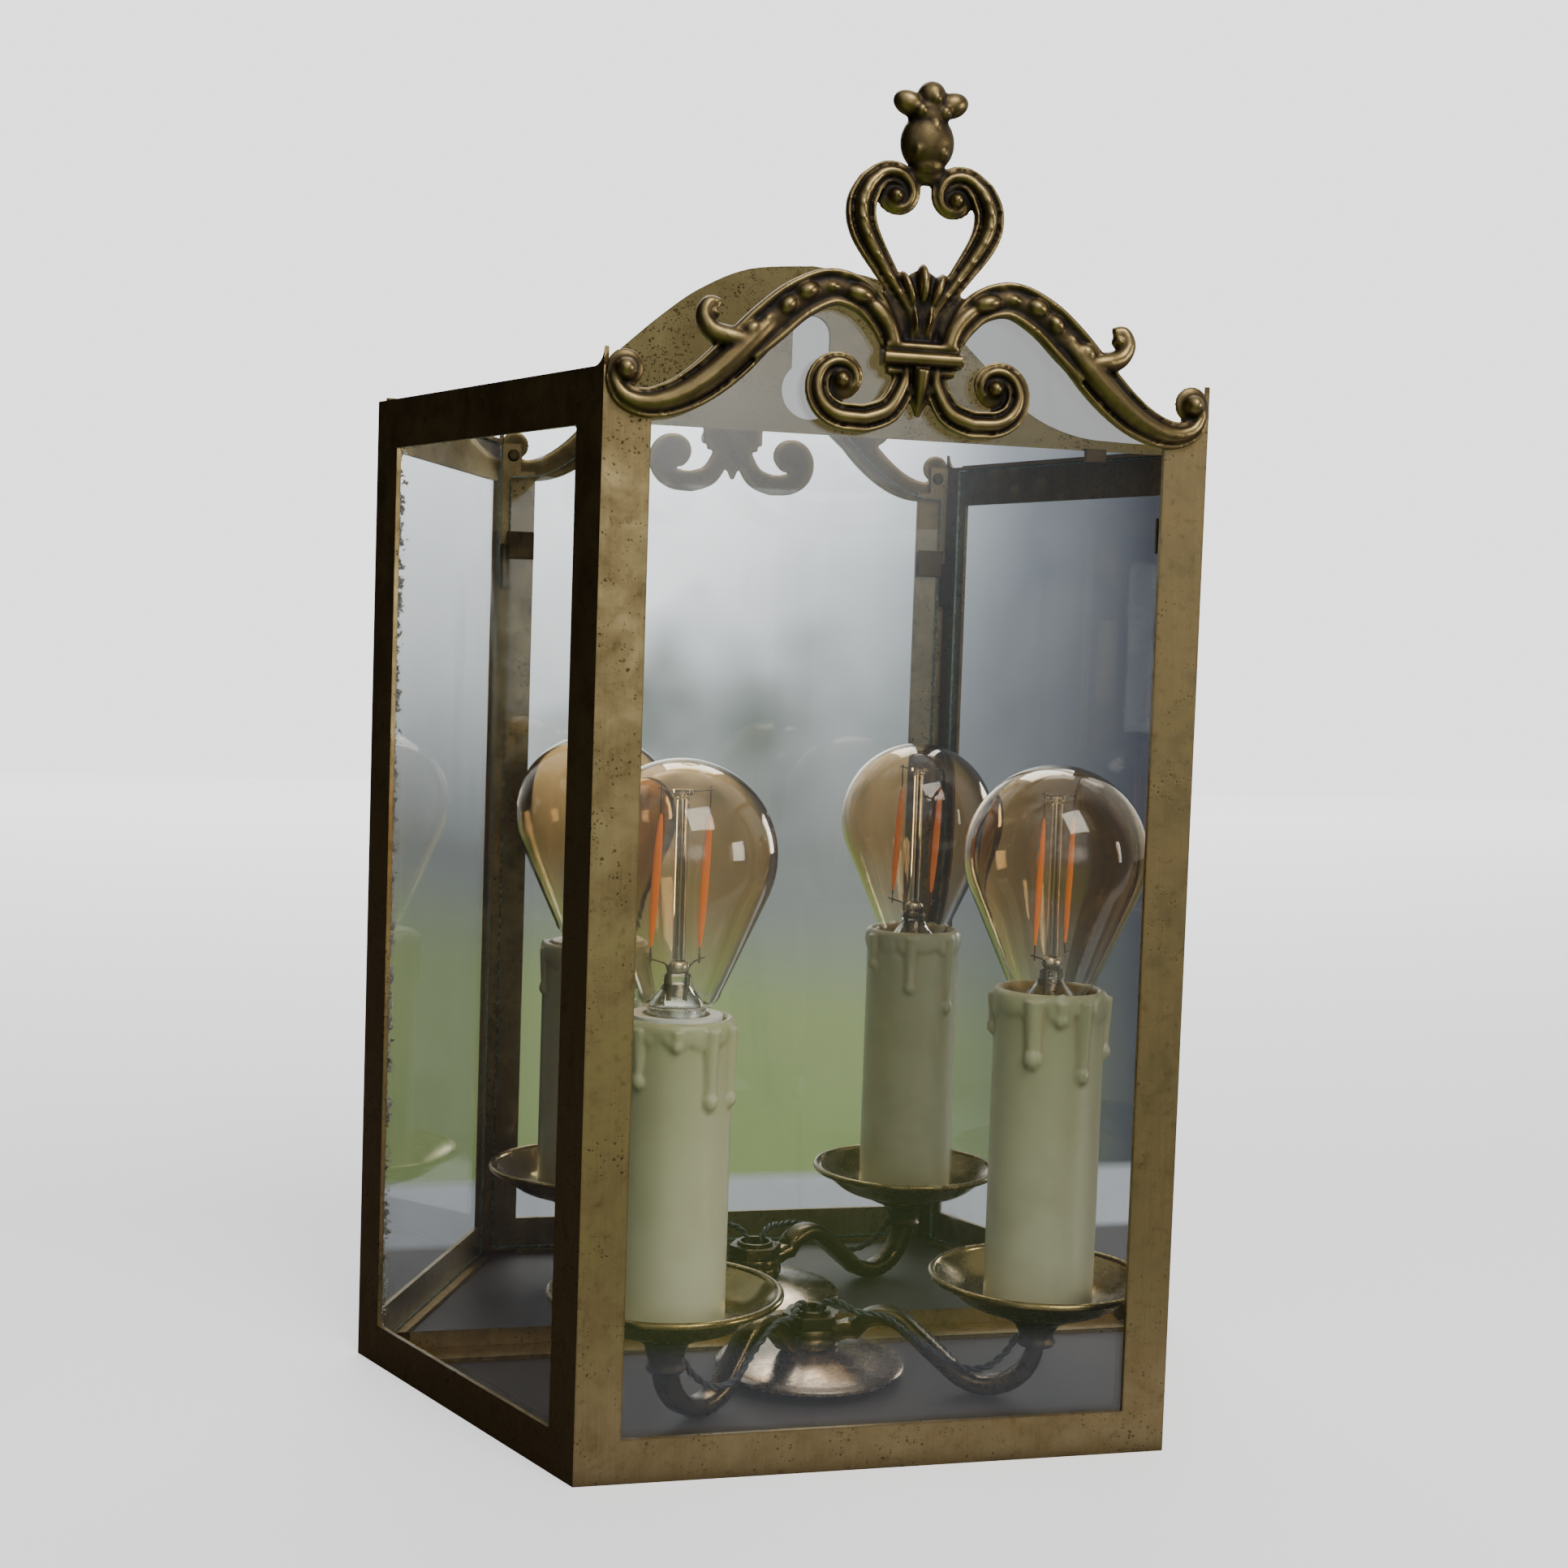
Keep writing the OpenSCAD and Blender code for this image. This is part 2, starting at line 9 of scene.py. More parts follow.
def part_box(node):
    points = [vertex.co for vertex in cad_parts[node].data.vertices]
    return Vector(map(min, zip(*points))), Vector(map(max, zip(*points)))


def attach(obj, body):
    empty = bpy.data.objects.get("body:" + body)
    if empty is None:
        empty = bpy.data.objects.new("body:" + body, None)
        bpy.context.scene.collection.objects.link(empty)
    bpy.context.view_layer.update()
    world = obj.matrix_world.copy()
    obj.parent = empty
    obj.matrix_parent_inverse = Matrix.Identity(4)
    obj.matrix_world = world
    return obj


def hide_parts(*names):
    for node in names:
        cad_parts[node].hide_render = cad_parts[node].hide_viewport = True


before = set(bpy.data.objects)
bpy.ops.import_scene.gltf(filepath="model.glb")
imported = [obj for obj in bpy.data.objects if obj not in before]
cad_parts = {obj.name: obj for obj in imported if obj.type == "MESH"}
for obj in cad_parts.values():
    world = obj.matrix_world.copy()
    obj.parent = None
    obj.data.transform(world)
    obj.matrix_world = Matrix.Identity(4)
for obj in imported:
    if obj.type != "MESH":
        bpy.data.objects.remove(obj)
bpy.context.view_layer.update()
mm = 0.001
random.seed(7)
print("frame loaded,", len(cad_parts), "nodes")

sides = ("left", "right")
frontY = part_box("corner_post_left")[0].y
lampAt = {side: sum(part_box("bulb_cap_" + side), Vector()) / 2 for side in sides}
discLow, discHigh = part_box("base_disc")
discCentre = Vector(((discLow.x + discHigh.x) / 2, (discLow.y + discHigh.y) / 2, 0))
flatAngle = math.radians(1)  # faces closer than this become one
bevelFrom = math.radians(30)  # edges sharper than this are softened
shadeFrom = 35  # degrees


def clearSelection():
    if bpy.context.object and bpy.context.object.mode != "OBJECT":
        bpy.ops.object.mode_set(mode="OBJECT")
    bpy.ops.object.select_all(action="DESELECT")


def pick(*objs):
    clearSelection()
    for obj in objs:
        obj.select_set(True)
    bpy.context.view_layer.objects.active = objs[0]


def applyPlace(obj):
    pick(obj)
    bpy.ops.object.transform_apply(location=True, rotation=True, scale=True)


def useModifier(obj, kind, **values):
    pick(obj)
    mod = obj.modifiers.new(kind.lower(), kind)
    for key, value in values.items():
        setattr(mod, key, value)
    bpy.ops.object.modifier_apply(modifier=mod.name)


def joinAll(objs, name):
    pick(*objs)
    if len(objs) > 1:
        bpy.ops.object.join()
    joined = bpy.context.view_layer.objects.active
    joined.name = name
    return joined


def weld(obj, distance=0.00001, outward=True):
    pick(obj)
    bpy.ops.object.mode_set(mode="EDIT")
    bpy.ops.mesh.select_all(action="SELECT")
    bpy.ops.mesh.remove_doubles(threshold=distance)
    if outward:
        bpy.ops.mesh.normals_make_consistent(inside=False)
    bpy.ops.object.mode_set(mode="OBJECT")


def smoothBy(obj, degrees):
    pick(obj)
    bpy.ops.object.shade_smooth_by_angle(angle=math.radians(degrees))


def smoothAll(obj):
    pick(obj)
    bpy.ops.object.shade_smooth()


def keep(obj, name, body, material, replaced=()):
    applyPlace(obj)
    obj.name = name
    obj.data.name = name
    if material:
        obj.data.materials.clear()
        obj.data.materials.append(material)
    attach(obj, body)
    if replaced:
        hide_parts(*replaced)
    return obj


def flow(points, steps=6):
    # a smooth run through a few given points
    run = []
    last = len(points) - 1
    for i in range(last):
        a, b, c, d = (Vector(points[min(max(k, 0), last)]) for k in (i - 1, i, i + 1, i + 2))
        for s in range(steps):
            t = s / steps
            run.append(0.5 * (2 * b + (c - a) * t + (2 * a - 5 * b + 4 * c - d) * t ** 2
                              + (3 * b - a - 3 * c + d) * t ** 3))
    run.append(Vector(points[last]))
    return run


def coil(centre, radii, angles, widths, steps=18):
    # an arc whose radius and width change steadily: x, z, width
    run = []
    for i in range(steps + 1):
        t = i / steps
        r = radii[0] + (radii[1] - radii[0]) * t
        a = math.radians(angles[0] + (angles[1] - angles[0]) * t)
        run.append(Vector((centre[0] + r * math.cos(a), centre[1] + r * math.sin(a),
                           widths[0] + (widths[1] - widths[0]) * t)))
    return run


def newCurve(name, points, cyclic=False):
    curve = bpy.data.curves.new(name, "CURVE")
    curve.dimensions = "3D"
    spline = curve.splines.new("POLY")
    spline.points.add(len(points) - 1)
    for spot, (x, y, z, radius) in zip(spline.points, points):
        spot.co = (x, y, z, 1)
        spot.radius = radius
    spline.use_cyclic_u = cyclic
    obj = bpy.data.objects.new(name, curve)
    bpy.context.collection.objects.link(obj)
    return obj


def swept(run, section):
    # sweeps a section along a flat run of x, y and width; the section is in shares of the width
    profile = newCurve("profile", [(n, h, 0, 1) for n, h in section], cyclic=True)
    path = newCurve("path", [(p[0] * mm, p[1] * mm, 0, p[2] * mm) for p in run])
    path.data.twist_mode = "Z_UP"
    path.data.bevel_mode = "OBJECT"
    path.data.bevel_object = profile
    path.data.use_fill_caps = True
    pick(path)
    bpy.ops.object.convert(target="MESH")
    bpy.data.objects.remove(profile)
    weld(path, 0.000002)
    return path


def strand(points, radius, sides=3):
    # a round wire along points in metres
    path = newCurve("strand", [(*p, 1) for p in points])
    path.data.twist_mode = "MINIMUM"
    path.data.bevel_depth = radius
    path.data.bevel_resolution = sides
    path.data.use_fill_caps = True
    pick(path)
    bpy.ops.object.convert(target="MESH")
    weld(path, 0.000002)
    smoothBy(path, 50)
    return path


def turned(profile, steps=96, closed=True):
    # lathe work: the outline is in millimetres, radius and height
    clearSelection()
    bpy.ops.mesh.primitive_plane_add(size=0.001, location=(0, 0, 0))
    bpy.ops.object.mode_set(mode="EDIT")
    bpy.ops.mesh.merge(type="CENTER")
    here = Vector((profile[0][0] * mm, 0, profile[0][1] * mm))
    bpy.ops.transform.translate(value=here)
    for r, z in list(profile[1:]) + ([profile[0]] if closed else []):
        there = Vector((r * mm, 0, z * mm))
        bpy.ops.mesh.extrude_region_move(TRANSFORM_OT_translate={"value": there - here})
        here = there
    bpy.ops.mesh.select_all(action="SELECT")
    bpy.ops.mesh.remove_doubles(threshold=0.000001)
    bpy.ops.mesh.spin(steps=steps, angle=2 * math.pi, center=(0, 0, 0), axis=(0, 0, 1))
    bpy.ops.object.mode_set(mode="OBJECT")
    obj = bpy.context.object
    weld(obj, 0.000003)
    smoothBy(obj, 40)
    return obj


def softened(obj, bevel, segments, distance):
    # merges the points, clears the flats of triangles and gives the edges a small round
    pick(obj)
    bpy.ops.object.mode_set(mode="EDIT")
    bpy.ops.mesh.select_all(action="SELECT")
    bpy.ops.mesh.remove_doubles(threshold=distance)
    bpy.ops.mesh.dissolve_limited(angle_limit=flatAngle)
    bpy.ops.object.mode_set(mode="OBJECT")
    smoothBy(obj, shadeFrom)
    if bevel:
        useModifier(obj, "BEVEL", width=bevel * mm, segments=segments, limit_method="ANGLE",
                    angle_limit=bevelFrom, use_clamp_overlap=True, harden_normals=True)
    return obj


def fromNode(node, bevel=0.15, segments=2):
    # a working copy of a CAD node
    obj = bpy.data.objects.new(node + "_soft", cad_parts[node].data.copy())
    bpy.context.collection.objects.link(obj)
    return softened(obj, bevel, segments, 0.000005)


def put(tree, kind, inputs=None, **settings):
    made = tree.nodes.new("ShaderNode" + kind)
    for key, value in settings.items():
        setattr(made, key, value)
    for key, value in (inputs or {}).items():
        if isinstance(value, bpy.types.NodeSocket):
            tree.links.new(value, made.inputs[key])
        else:
            made.inputs[key].default_value = value
    return made


def calc(tree, operation, a, b=0.0, clamp=False):
    return put(tree, "Math", {0: a, 1: b}, operation=operation, use_clamp=clamp).outputs[0]


def remap(tree, value, low, high, toLow=0.0, toHigh=1.0):
    return put(tree, "MapRange", {"Value": value, "From Min": low, "From Max": high,
                                  "To Min": toLow, "To Max": toHigh}).outputs["Result"]


def blendColour(tree, fac, a, b):
    mixed = put(tree, "Mix", data_type="RGBA", blend_type="MIX")
    for label, value in (("Factor", fac), ("A", a), ("B", b)):
        target = [socket for socket in mixed.inputs if socket.name == label and socket.enabled][0]
        if isinstance(value, bpy.types.NodeSocket):
            tree.links.new(value, target)
        else:
            target.default_value = value if label == "Factor" else (*value, 1)
    return [socket for socket in mixed.outputs if socket.enabled][0]


def newGroup(name, inputs, outputs):
    group = bpy.data.node_groups.new(name, "ShaderNodeTree")
    for label, kind, value in inputs:
        socket = group.interface.new_socket(label, in_out="INPUT", socket_type=kind)
        if value is not None:
            socket.default_value = value
    for label, kind in outputs:
        group.interface.new_socket(label, in_out="OUTPUT", socket_type=kind)
    return group, group.nodes.new("NodeGroupInput"), group.nodes.new("NodeGroupOutput")


def useGroup(tree, group, inputs):
    return put(tree, "Group", inputs, node_tree=group)


def newMaterial(name, **constants):
    material = bpy.data.materials.new(name)
    material.use_nodes = True
    tree = material.node_tree
    shader = tree.nodes["Principled BSDF"]
    for key, value in constants.items():
        label = {"ior": "IOR", "coat": "Coat Weight", "coatRoughness": "Coat Roughness",
                 "transmission": "Transmission Weight", "subsurface": "Subsurface Weight",
                 "subsurfaceScale": "Subsurface Scale",
                 "subsurfaceRadius": "Subsurface Radius"}.get(key, key.capitalize())
        shader.inputs[label].default_value = value
    return material, tree, shader


def bumpInto(tree, shader, height, strength, distance):
    bump = put(tree, "Bump", {"Height": height, "Strength": strength, "Distance": distance})
    tree.links.new(bump.outputs["Normal"], shader.inputs["Normal"])


def makeTarnish():
    # broad blotches, small dark specks and a fine grain, for every metal
    group, source, result = newGroup(
        "tarnish",
        [("Position", "NodeSocketVector", None), ("Blotch Scale", "NodeSocketFloat", 60.0),
         ("Speck Scale", "NodeSocketFloat", 700.0), ("Speck Reach", "NodeSocketFloat", 0.3)],
        [("Blotches", "NodeSocketFloat"), ("Specks", "NodeSocketFloat"), ("Grain", "NodeSocketFloat"),
         ("Height", "NodeSocketFloat")])
    where = source.outputs["Position"]
    broad = put(group, "TexNoise", {"Vector": where, "Scale": source.outputs["Blotch Scale"],
                                    "Detail": 6.0, "Roughness": 0.62, "Distortion": 0.4})
    blotches = remap(group, broad.outputs["Fac"], 0.38, 0.64)
    wobble = put(group, "TexNoise", {"Vector": where, "Scale": 1300.0, "Detail": 2.0})
    shift = put(group, "VectorMath", {0: wobble.outputs["Color"], 1: (0.0011, 0.0011, 0.0011)},
                operation="MULTIPLY")
    pushed = put(group, "VectorMath", {0: where, 1: shift.outputs[0]}, operation="ADD")
    cells = put(group, "TexVoronoi", {"Vector": pushed.outputs[0], "Scale": source.outputs["Speck Scale"],
                                      "Randomness": 1.0})
    tint = put(group, "SeparateColor", {"Color": cells.outputs["Color"]})
    reach = calc(group, "MULTIPLY", source.outputs["Speck Reach"], tint.outputs["Red"])
    clumps = put(group, "TexNoise", {"Vector": where, "Scale": 90.0, "Detail": 3.0})
    reach = calc(group, "MULTIPLY", reach, remap(group, clumps.outputs["Fac"], 0.35, 0.6, 0.25, 1.25))
    specks = calc(group, "SUBTRACT", reach, cells.outputs["Distance"])
    specks = remap(group, specks, 0.0, 0.26)
    fine = put(group, "TexNoise", {"Vector": where, "Scale": 2600.0, "Detail": 4.0, "Roughness": 0.7})
    height = calc(group, "SUBTRACT", calc(group, "MULTIPLY", fine.outputs["Fac"], 0.35),
                  calc(group, "MULTIPLY", specks, 0.5))
    for label, value in (("Blotches", blotches), ("Specks", specks),
                         ("Grain", fine.outputs["Fac"]), ("Height", height)):
        group.links.new(value, result.inputs[label])
    return group


def makeScuffs():
    # fine scratches that run mostly one way
    group, source, result = newGroup(
        "scuffs", [("Position", "NodeSocketVector", None), ("Stretch", "NodeSocketVector", (1, 1, 0.03)),
                   ("Scale", "NodeSocketFloat", 1500.0)],
        [("Lines", "NodeSocketFloat")])
    thin = put(group, "VectorMath", {0: source.outputs["Position"], 1: source.outputs["Stretch"]},
               operation="MULTIPLY")
    lines = put(group, "TexNoise", {"Vector": thin.outputs[0], "Scale": source.outputs["Scale"],
                                    "Detail": 5.0, "Roughness": 0.75})
    group.links.new(remap(group, lines.outputs["Fac"], 0.4, 0.75), result.inputs["Lines"])
    return group


def makeSoftEdges():
    # a mask that is 1 on sharp edges and 0 on flats
    group, source, result = newGroup("softEdges", [("Width", "NodeSocketFloat", 0.0008)],
                                     [("Edges", "NodeSocketFloat")])
    rounded = put(group, "Bevel", {"Radius": source.outputs["Width"]}, samples=4)
    flat = put(group, "NewGeometry")
    facing = put(group, "VectorMath", {0: rounded.outputs[0], 1: flat.outputs["Normal"]},
                 operation="DOT_PRODUCT").outputs["Value"]
    group.links.new(remap(group, facing, 0.99, 0.8), result.inputs["Edges"])
    return group


tarnish = makeTarnish()
scuffs = makeScuffs()
softEdges = makeSoftEdges()


def objectPosition(tree):
    return put(tree, "TexCoord").outputs["Object"]


def sheetBrass(name, gold, brown, blotchScale=45.0, speckScale=520.0, speckReach=0.3, rough=(0.3, 0.5)):
    material, tree, shader = newMaterial(name, metallic=1.0)
    where = objectPosition(tree)
    age = useGroup(tree, tarnish, {"Position": where, "Blotch Scale": blotchScale,
                                   "Speck Scale": speckScale, "Speck Reach": speckReach})
    rub = useGroup(tree, scuffs, {"Position": where, "Stretch": (1, 1, 0.04)})
    edge = useGroup(tree, softEdges, {"Width": 0.0009})
    colour = blendColour(tree, age.outputs["Blotches"], brown, gold)
    colour = blendColour(tree, calc(tree, "MULTIPLY", rub.outputs["Lines"], 0.25), colour,
                         tuple(min(1, c * 1.35) for c in gold))
    # painted shade: sharp edges and creases are darkened towards a deep brown
    colour = blendColour(tree, calc(tree, "MULTIPLY", edge.outputs["Edges"], 0.55), colour,
                         tuple(c * 0.35 for c in brown))
    stains = put(tree, "TexNoise", {"Vector": where, "Scale": 330.0, "Detail": 5.0, "Roughness": 0.65})
    colour = blendColour(tree, remap(tree, stains.outputs["Fac"], 0.56, 0.72, 0.0, 0.6), colour,
                         tuple(c * 0.55 for c in brown))
    colour = blendColour(tree, calc(tree, "MULTIPLY", age.outputs["Specks"], 0.75), colour,
                         (0.045, 0.025, 0.012))
    tree.links.new(colour, shader.inputs["Base Color"])
    roughness = remap(tree, age.outputs["Blotches"], 0.0, 1.0, rough[1], rough[0])
    roughness = calc(tree, "ADD", roughness, calc(tree, "MULTIPLY", age.outputs["Specks"], 0.25), clamp=True)
    tree.links.new(roughness, shader.inputs["Roughness"])
    bumpInto(tree, shader, age.outputs["Height"], 0.35, 0.00012)
    return material


def castBrass():
    # gold on the high places, blue-brown in the hollows, by the wear painted on the casting
    material, tree, shader = newMaterial("castBrass", metallic=1.0)
    where = objectPosition(tree)
    wear = put(tree, "Attribute", attribute_name="wear").outputs["Fac"]
    age = useGroup(tree, tarnish, {"Position": where, "Blotch Scale": 160.0, "Speck Scale": 900.0,
                                   "Speck Reach": 0.25})
    noisy = calc(tree, "ADD", wear, remap(tree, age.outputs["Blotches"], 0, 1, -0.12, 0.1))
    hollow = blendColour(tree, remap(tree, noisy, 0.12, 0.4), (0.024, 0.02, 0.018),
                         (0.075, 0.053, 0.028))
    brown = blendColour(tree, remap(tree, noisy, 0.4, 0.62), hollow, (0.13, 0.092, 0.04))
    colour = blendColour(tree, remap(tree, noisy, 0.62, 1.0), brown, (0.29, 0.21, 0.09))
    colour = blendColour(tree, calc(tree, "MULTIPLY", age.outputs["Specks"], 0.6), colour,
                         (0.02, 0.014, 0.01))
    tree.links.new(colour, shader.inputs["Base Color"])
    tree.links.new(remap(tree, noisy, 0.2, 0.85, 0.55, 0.34), shader.inputs["Roughness"])
    bumpInto(tree, shader, age.outputs["Height"], 0.4, 0.00015)
    return material


def turnedBrass(name, bright, dark, rough, blotchScale=75.0, speckReach=0.1):
    material, tree, shader = newMaterial(name, metallic=1.0)
    where = objectPosition(tree)
    age = useGroup(tree, tarnish, {"Position": where, "Blotch Scale": blotchScale, "Speck Scale": 600.0,
                                   "Speck Reach": speckReach})
    rub = useGroup(tree, scuffs, {"Position": where, "Stretch": (0.25, 0.25, 1), "Scale": 2200.0})
    colour = blendColour(tree, age.outputs["Blotches"], dark, bright)
    colour = blendColour(tree, calc(tree, "MULTIPLY", rub.outputs["Lines"], 0.3), colour,
                         tuple(c * 0.5 for c in dark))
    colour = blendColour(tree, calc(tree, "MULTIPLY", age.outputs["Specks"], 0.7), colour,
                         (0.04, 0.025, 0.012))
    tree.links.new(colour, shader.inputs["Base Color"])
    roughness = remap(tree, age.outputs["Blotches"], 0, 1, rough[1], rough[0])
    tree.links.new(calc(tree, "ADD", roughness, calc(tree, "MULTIPLY", rub.outputs["Lines"], 0.12)),
                   shader.inputs["Roughness"])
    bumpInto(tree, shader, calc(tree, "ADD", age.outputs["Height"], rub.outputs["Lines"]), 0.08, 0.00005)
    return material


def plainMetal(name, colour, rough):
    material, tree, shader = newMaterial(name, metallic=1.0)
    where = objectPosition(tree)
    age = useGroup(tree, tarnish, {"Position": where, "Blotch Scale": 140.0, "Speck Scale": 1200.0,
                                   "Speck Reach": 0.15})
    mixed = blendColour(tree, age.outputs["Blotches"], tuple(c * 0.7 for c in colour), colour)
    tree.links.new(mixed, shader.inputs["Base Color"])
    roughness = remap(tree, age.outputs["Grain"], 0.3, 0.7, rough, rough + 0.12)
    tree.links.new(roughness, shader.inputs["Roughness"])
    bumpInto(tree, shader, age.outputs["Height"], 0.2, 0.00006)
    return material


def silvering():
    # bright silver with cloudy wear and tarnished nicks close to the edges
    material, tree, shader = newMaterial("silvering", metallic=1.0)
    where = objectPosition(tree)
    parts = put(tree, "SeparateXYZ", {"Vector": where})
    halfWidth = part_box("mirror")[1].x
    inward = calc(tree, "SUBTRACT", halfWidth, calc(tree, "ABSOLUTE", parts.outputs["X"]))
    ragged = put(tree, "TexNoise", {"Vector": where, "Scale": 420.0, "Detail": 6.0, "Roughness": 0.7})
    border = calc(tree, "ADD", inward, remap(tree, ragged.outputs["Fac"], 0.3, 0.7, -0.0022, 0.0022))
    spoiled = remap(tree, border, 0.0016, 0.0002)
    cloud = put(tree, "TexNoise", {"Vector": where, "Scale": 25.0, "Detail": 5.0})
    clean = blendColour(tree, remap(tree, cloud.outputs["Fac"], 0.45, 0.75), (0.86, 0.87, 0.88),
                        (0.8, 0.82, 0.83))
    glitter = put(tree, "TexNoise", {"Vector": where, "Scale": 1500.0, "Detail": 4.0, "Roughness": 0.8})
    chipped = blendColour(tree, remap(tree, glitter.outputs["Fac"], 0.42, 0.6), (0.09, 0.085, 0.07),
                          (0.7, 0.72, 0.72))
    colour = blendColour(tree, spoiled, clean, chipped)
    tree.links.new(colour, shader.inputs["Base Color"])
    tree.links.new(remap(tree, spoiled, 0, 1, 0.012, 0.3), shader.inputs["Roughness"])
    bumpInto(tree, shader, calc(tree, "MULTIPLY", glitter.outputs["Fac"], spoiled), 0.9, 0.0006)
    return material


def letShadowsThrough(tree, shader, tint):
    # glass lets soft light in, so what stands behind it is not left in the dark
    output = tree.nodes["Material Output"]
    path = put(tree, "LightPath")
    clear = put(tree, "BsdfTransparent", {"Color": (*tint, 1)})
    either = put(tree, "MixShader", {0: calc(tree, "MAXIMUM", path.outputs["Is Shadow Ray"],
                                             path.outputs["Is Diffuse Ray"])})
    tree.links.new(shader.outputs[0], either.inputs[1])
    tree.links.new(clear.outputs[0], either.inputs[2])
    tree.links.new(either.outputs[0], output.inputs["Surface"])


def windowGlass():
    material, tree, shader = newMaterial("windowGlass", transmission=1.0, ior=1.5)
    where = objectPosition(tree)
    runs = put(tree, "VectorMath", {0: where, 1: (60.0, 60.0, 9.0)}, operation="MULTIPLY")
    streaks = put(tree, "TexNoise", {"Vector": runs.outputs[0], "Scale": 1.0, "Detail": 4.0,
                                     "Distortion": 1.5})
    marks = remap(tree, streaks.outputs["Fac"], 0.6, 0.72)
    tree.links.new(remap(tree, marks, 0, 1, 0.0, 0.07), shader.inputs["Roughness"])
    tint = blendColour(tree, marks, (0.965, 0.98, 0.975), (0.9, 0.92, 0.915))
    tree.links.new(tint, shader.inputs["Base Color"])
    letShadowsThrough(tree, shader, (0.96, 0.975, 0.97))
    return material


def glassEdge():
    material, tree, shader = newMaterial("glassEdge", transmission=0.4, ior=1.5)
    where = objectPosition(tree)
    nicks = put(tree, "TexNoise", {"Vector": where, "Scale": 700.0, "Detail": 4.0})
    colour = blendColour(tree, nicks.outputs["Fac"], (0.05, 0.14, 0.12), (0.3, 0.5, 0.45))
    tree.links.new(colour, shader.inputs["Base Color"])
    tree.links.new(remap(tree, nicks.outputs["Fac"], 0.3, 0.7, 0.1, 0.35), shader.inputs["Roughness"])
    bumpInto(tree, shader, nicks.outputs["Fac"], 0.4, 0.0002)
    return material


def amberGlass(low, high):
    # the tint is strong over the globe and fades at the neck
    material, tree, shader = newMaterial("amberGlass", transmission=1.0, ior=1.5)
    parts = put(tree, "SeparateXYZ", {"Vector": objectPosition(tree)})
    rise = remap(tree, parts.outputs["Z"], low, high)
    film = put(tree, "TexNoise", {"Vector": objectPosition(tree), "Scale": 60.0, "Detail": 3.0})
    rise = calc(tree, "ADD", rise, remap(tree, film.outputs["Fac"], 0.3, 0.7, -0.08, 0.08), clamp=True)
    colour = blendColour(tree, rise, (0.95, 0.94, 0.85), (0.86, 0.67, 0.41))
    tree.links.new(colour, shader.inputs["Base Color"])
    tree.links.new(remap(tree, film.outputs["Fac"], 0.3, 0.8, 0.0, 0.02), shader.inputs["Roughness"])
    letShadowsThrough(tree, shader, (0.88, 0.76, 0.58))
    return material


def clearGlass():
    material, tree, shader = newMaterial("clearGlass", transmission=1.0, ior=1.5)
    swirl = put(tree, "TexNoise", {"Vector": objectPosition(tree), "Scale": 300.0, "Detail": 2.0})
    tree.links.new(blendColour(tree, swirl.outputs["Fac"], (0.8, 0.82, 0.85), (0.95, 0.96, 0.97)),
                   shader.inputs["Base Color"])
    tree.links.new(remap(tree, swirl.outputs["Fac"], 0.3, 0.7, 0.0, 0.05), shader.inputs["Roughness"])
    letShadowsThrough(tree, shader, (0.9, 0.92, 0.95))
    return material


def waxCream(low, high):
    # cream wax, paler low down and darker and yellower towards the top, darker in the hollows under the rim
    material, tree, shader = newMaterial("waxCream", subsurface=0.2, subsurfaceScale=0.003, ior=1.45,
                                         subsurfaceRadius=(1.0, 0.75, 0.4), coat=0.15, coatRoughness=0.25)
    where = objectPosition(tree)
    parts = put(tree, "SeparateXYZ", {"Vector": where})
    rise = remap(tree, parts.outputs["Z"], low, high)
    cloud = put(tree, "TexNoise", {"Vector": where, "Scale": 70.0, "Detail": 5.0})
    colour = blendColour(tree, rise, (0.52, 0.495, 0.32), (0.35, 0.335, 0.175))
    colour = blendColour(tree, remap(tree, cloud.outputs["Fac"], 0.45, 0.75, 0.0, 0.4), colour,
                         (0.3, 0.275, 0.14))
    hollow = remap(tree, put(tree, "Attribute", attribute_name="wear").outputs["Fac"], 0.42, 0.25)
    colour = blendColour(tree, calc(tree, "MULTIPLY", hollow, 0.6), colour, (0.3, 0.23, 0.1))
    tree.links.new(colour, shader.inputs["Base Color"])
    tree.links.new(remap(tree, cloud.outputs["Fac"], 0.3, 0.7, 0.3, 0.45), shader.inputs["Roughness"])
    fine = put(tree, "TexNoise", {"Vector": where, "Scale": 900.0, "Detail": 3.0})
    bumpInto(tree, shader, fine.outputs["Fac"], 0.12, 0.0001)
    return material


def plainPlastic(name, colour, rough, glow=0.0):
    material, tree, shader = newMaterial(name)
    grain = put(tree, "TexNoise", {"Vector": objectPosition(tree), "Scale": 900.0, "Detail": 4.0})
    shade = blendColour(tree, grain.outputs["Fac"], tuple(c * 0.75 for c in colour), colour)
    tree.links.new(shade, shader.inputs["Base Color"])
    roughness = remap(tree, grain.outputs["Fac"], 0.3, 0.7, rough, rough + 0.1)
    tree.links.new(roughness, shader.inputs["Roughness"])
    # painted glow: the colour is also given off as light, though the part is no lamp
    if glow:
        tree.links.new(shade, shader.inputs["Emission Color"])
        shader.inputs["Emission Strength"].default_value = glow
    bumpInto(tree, shader, grain.outputs["Fac"], 0.15, 0.0001)
    return material


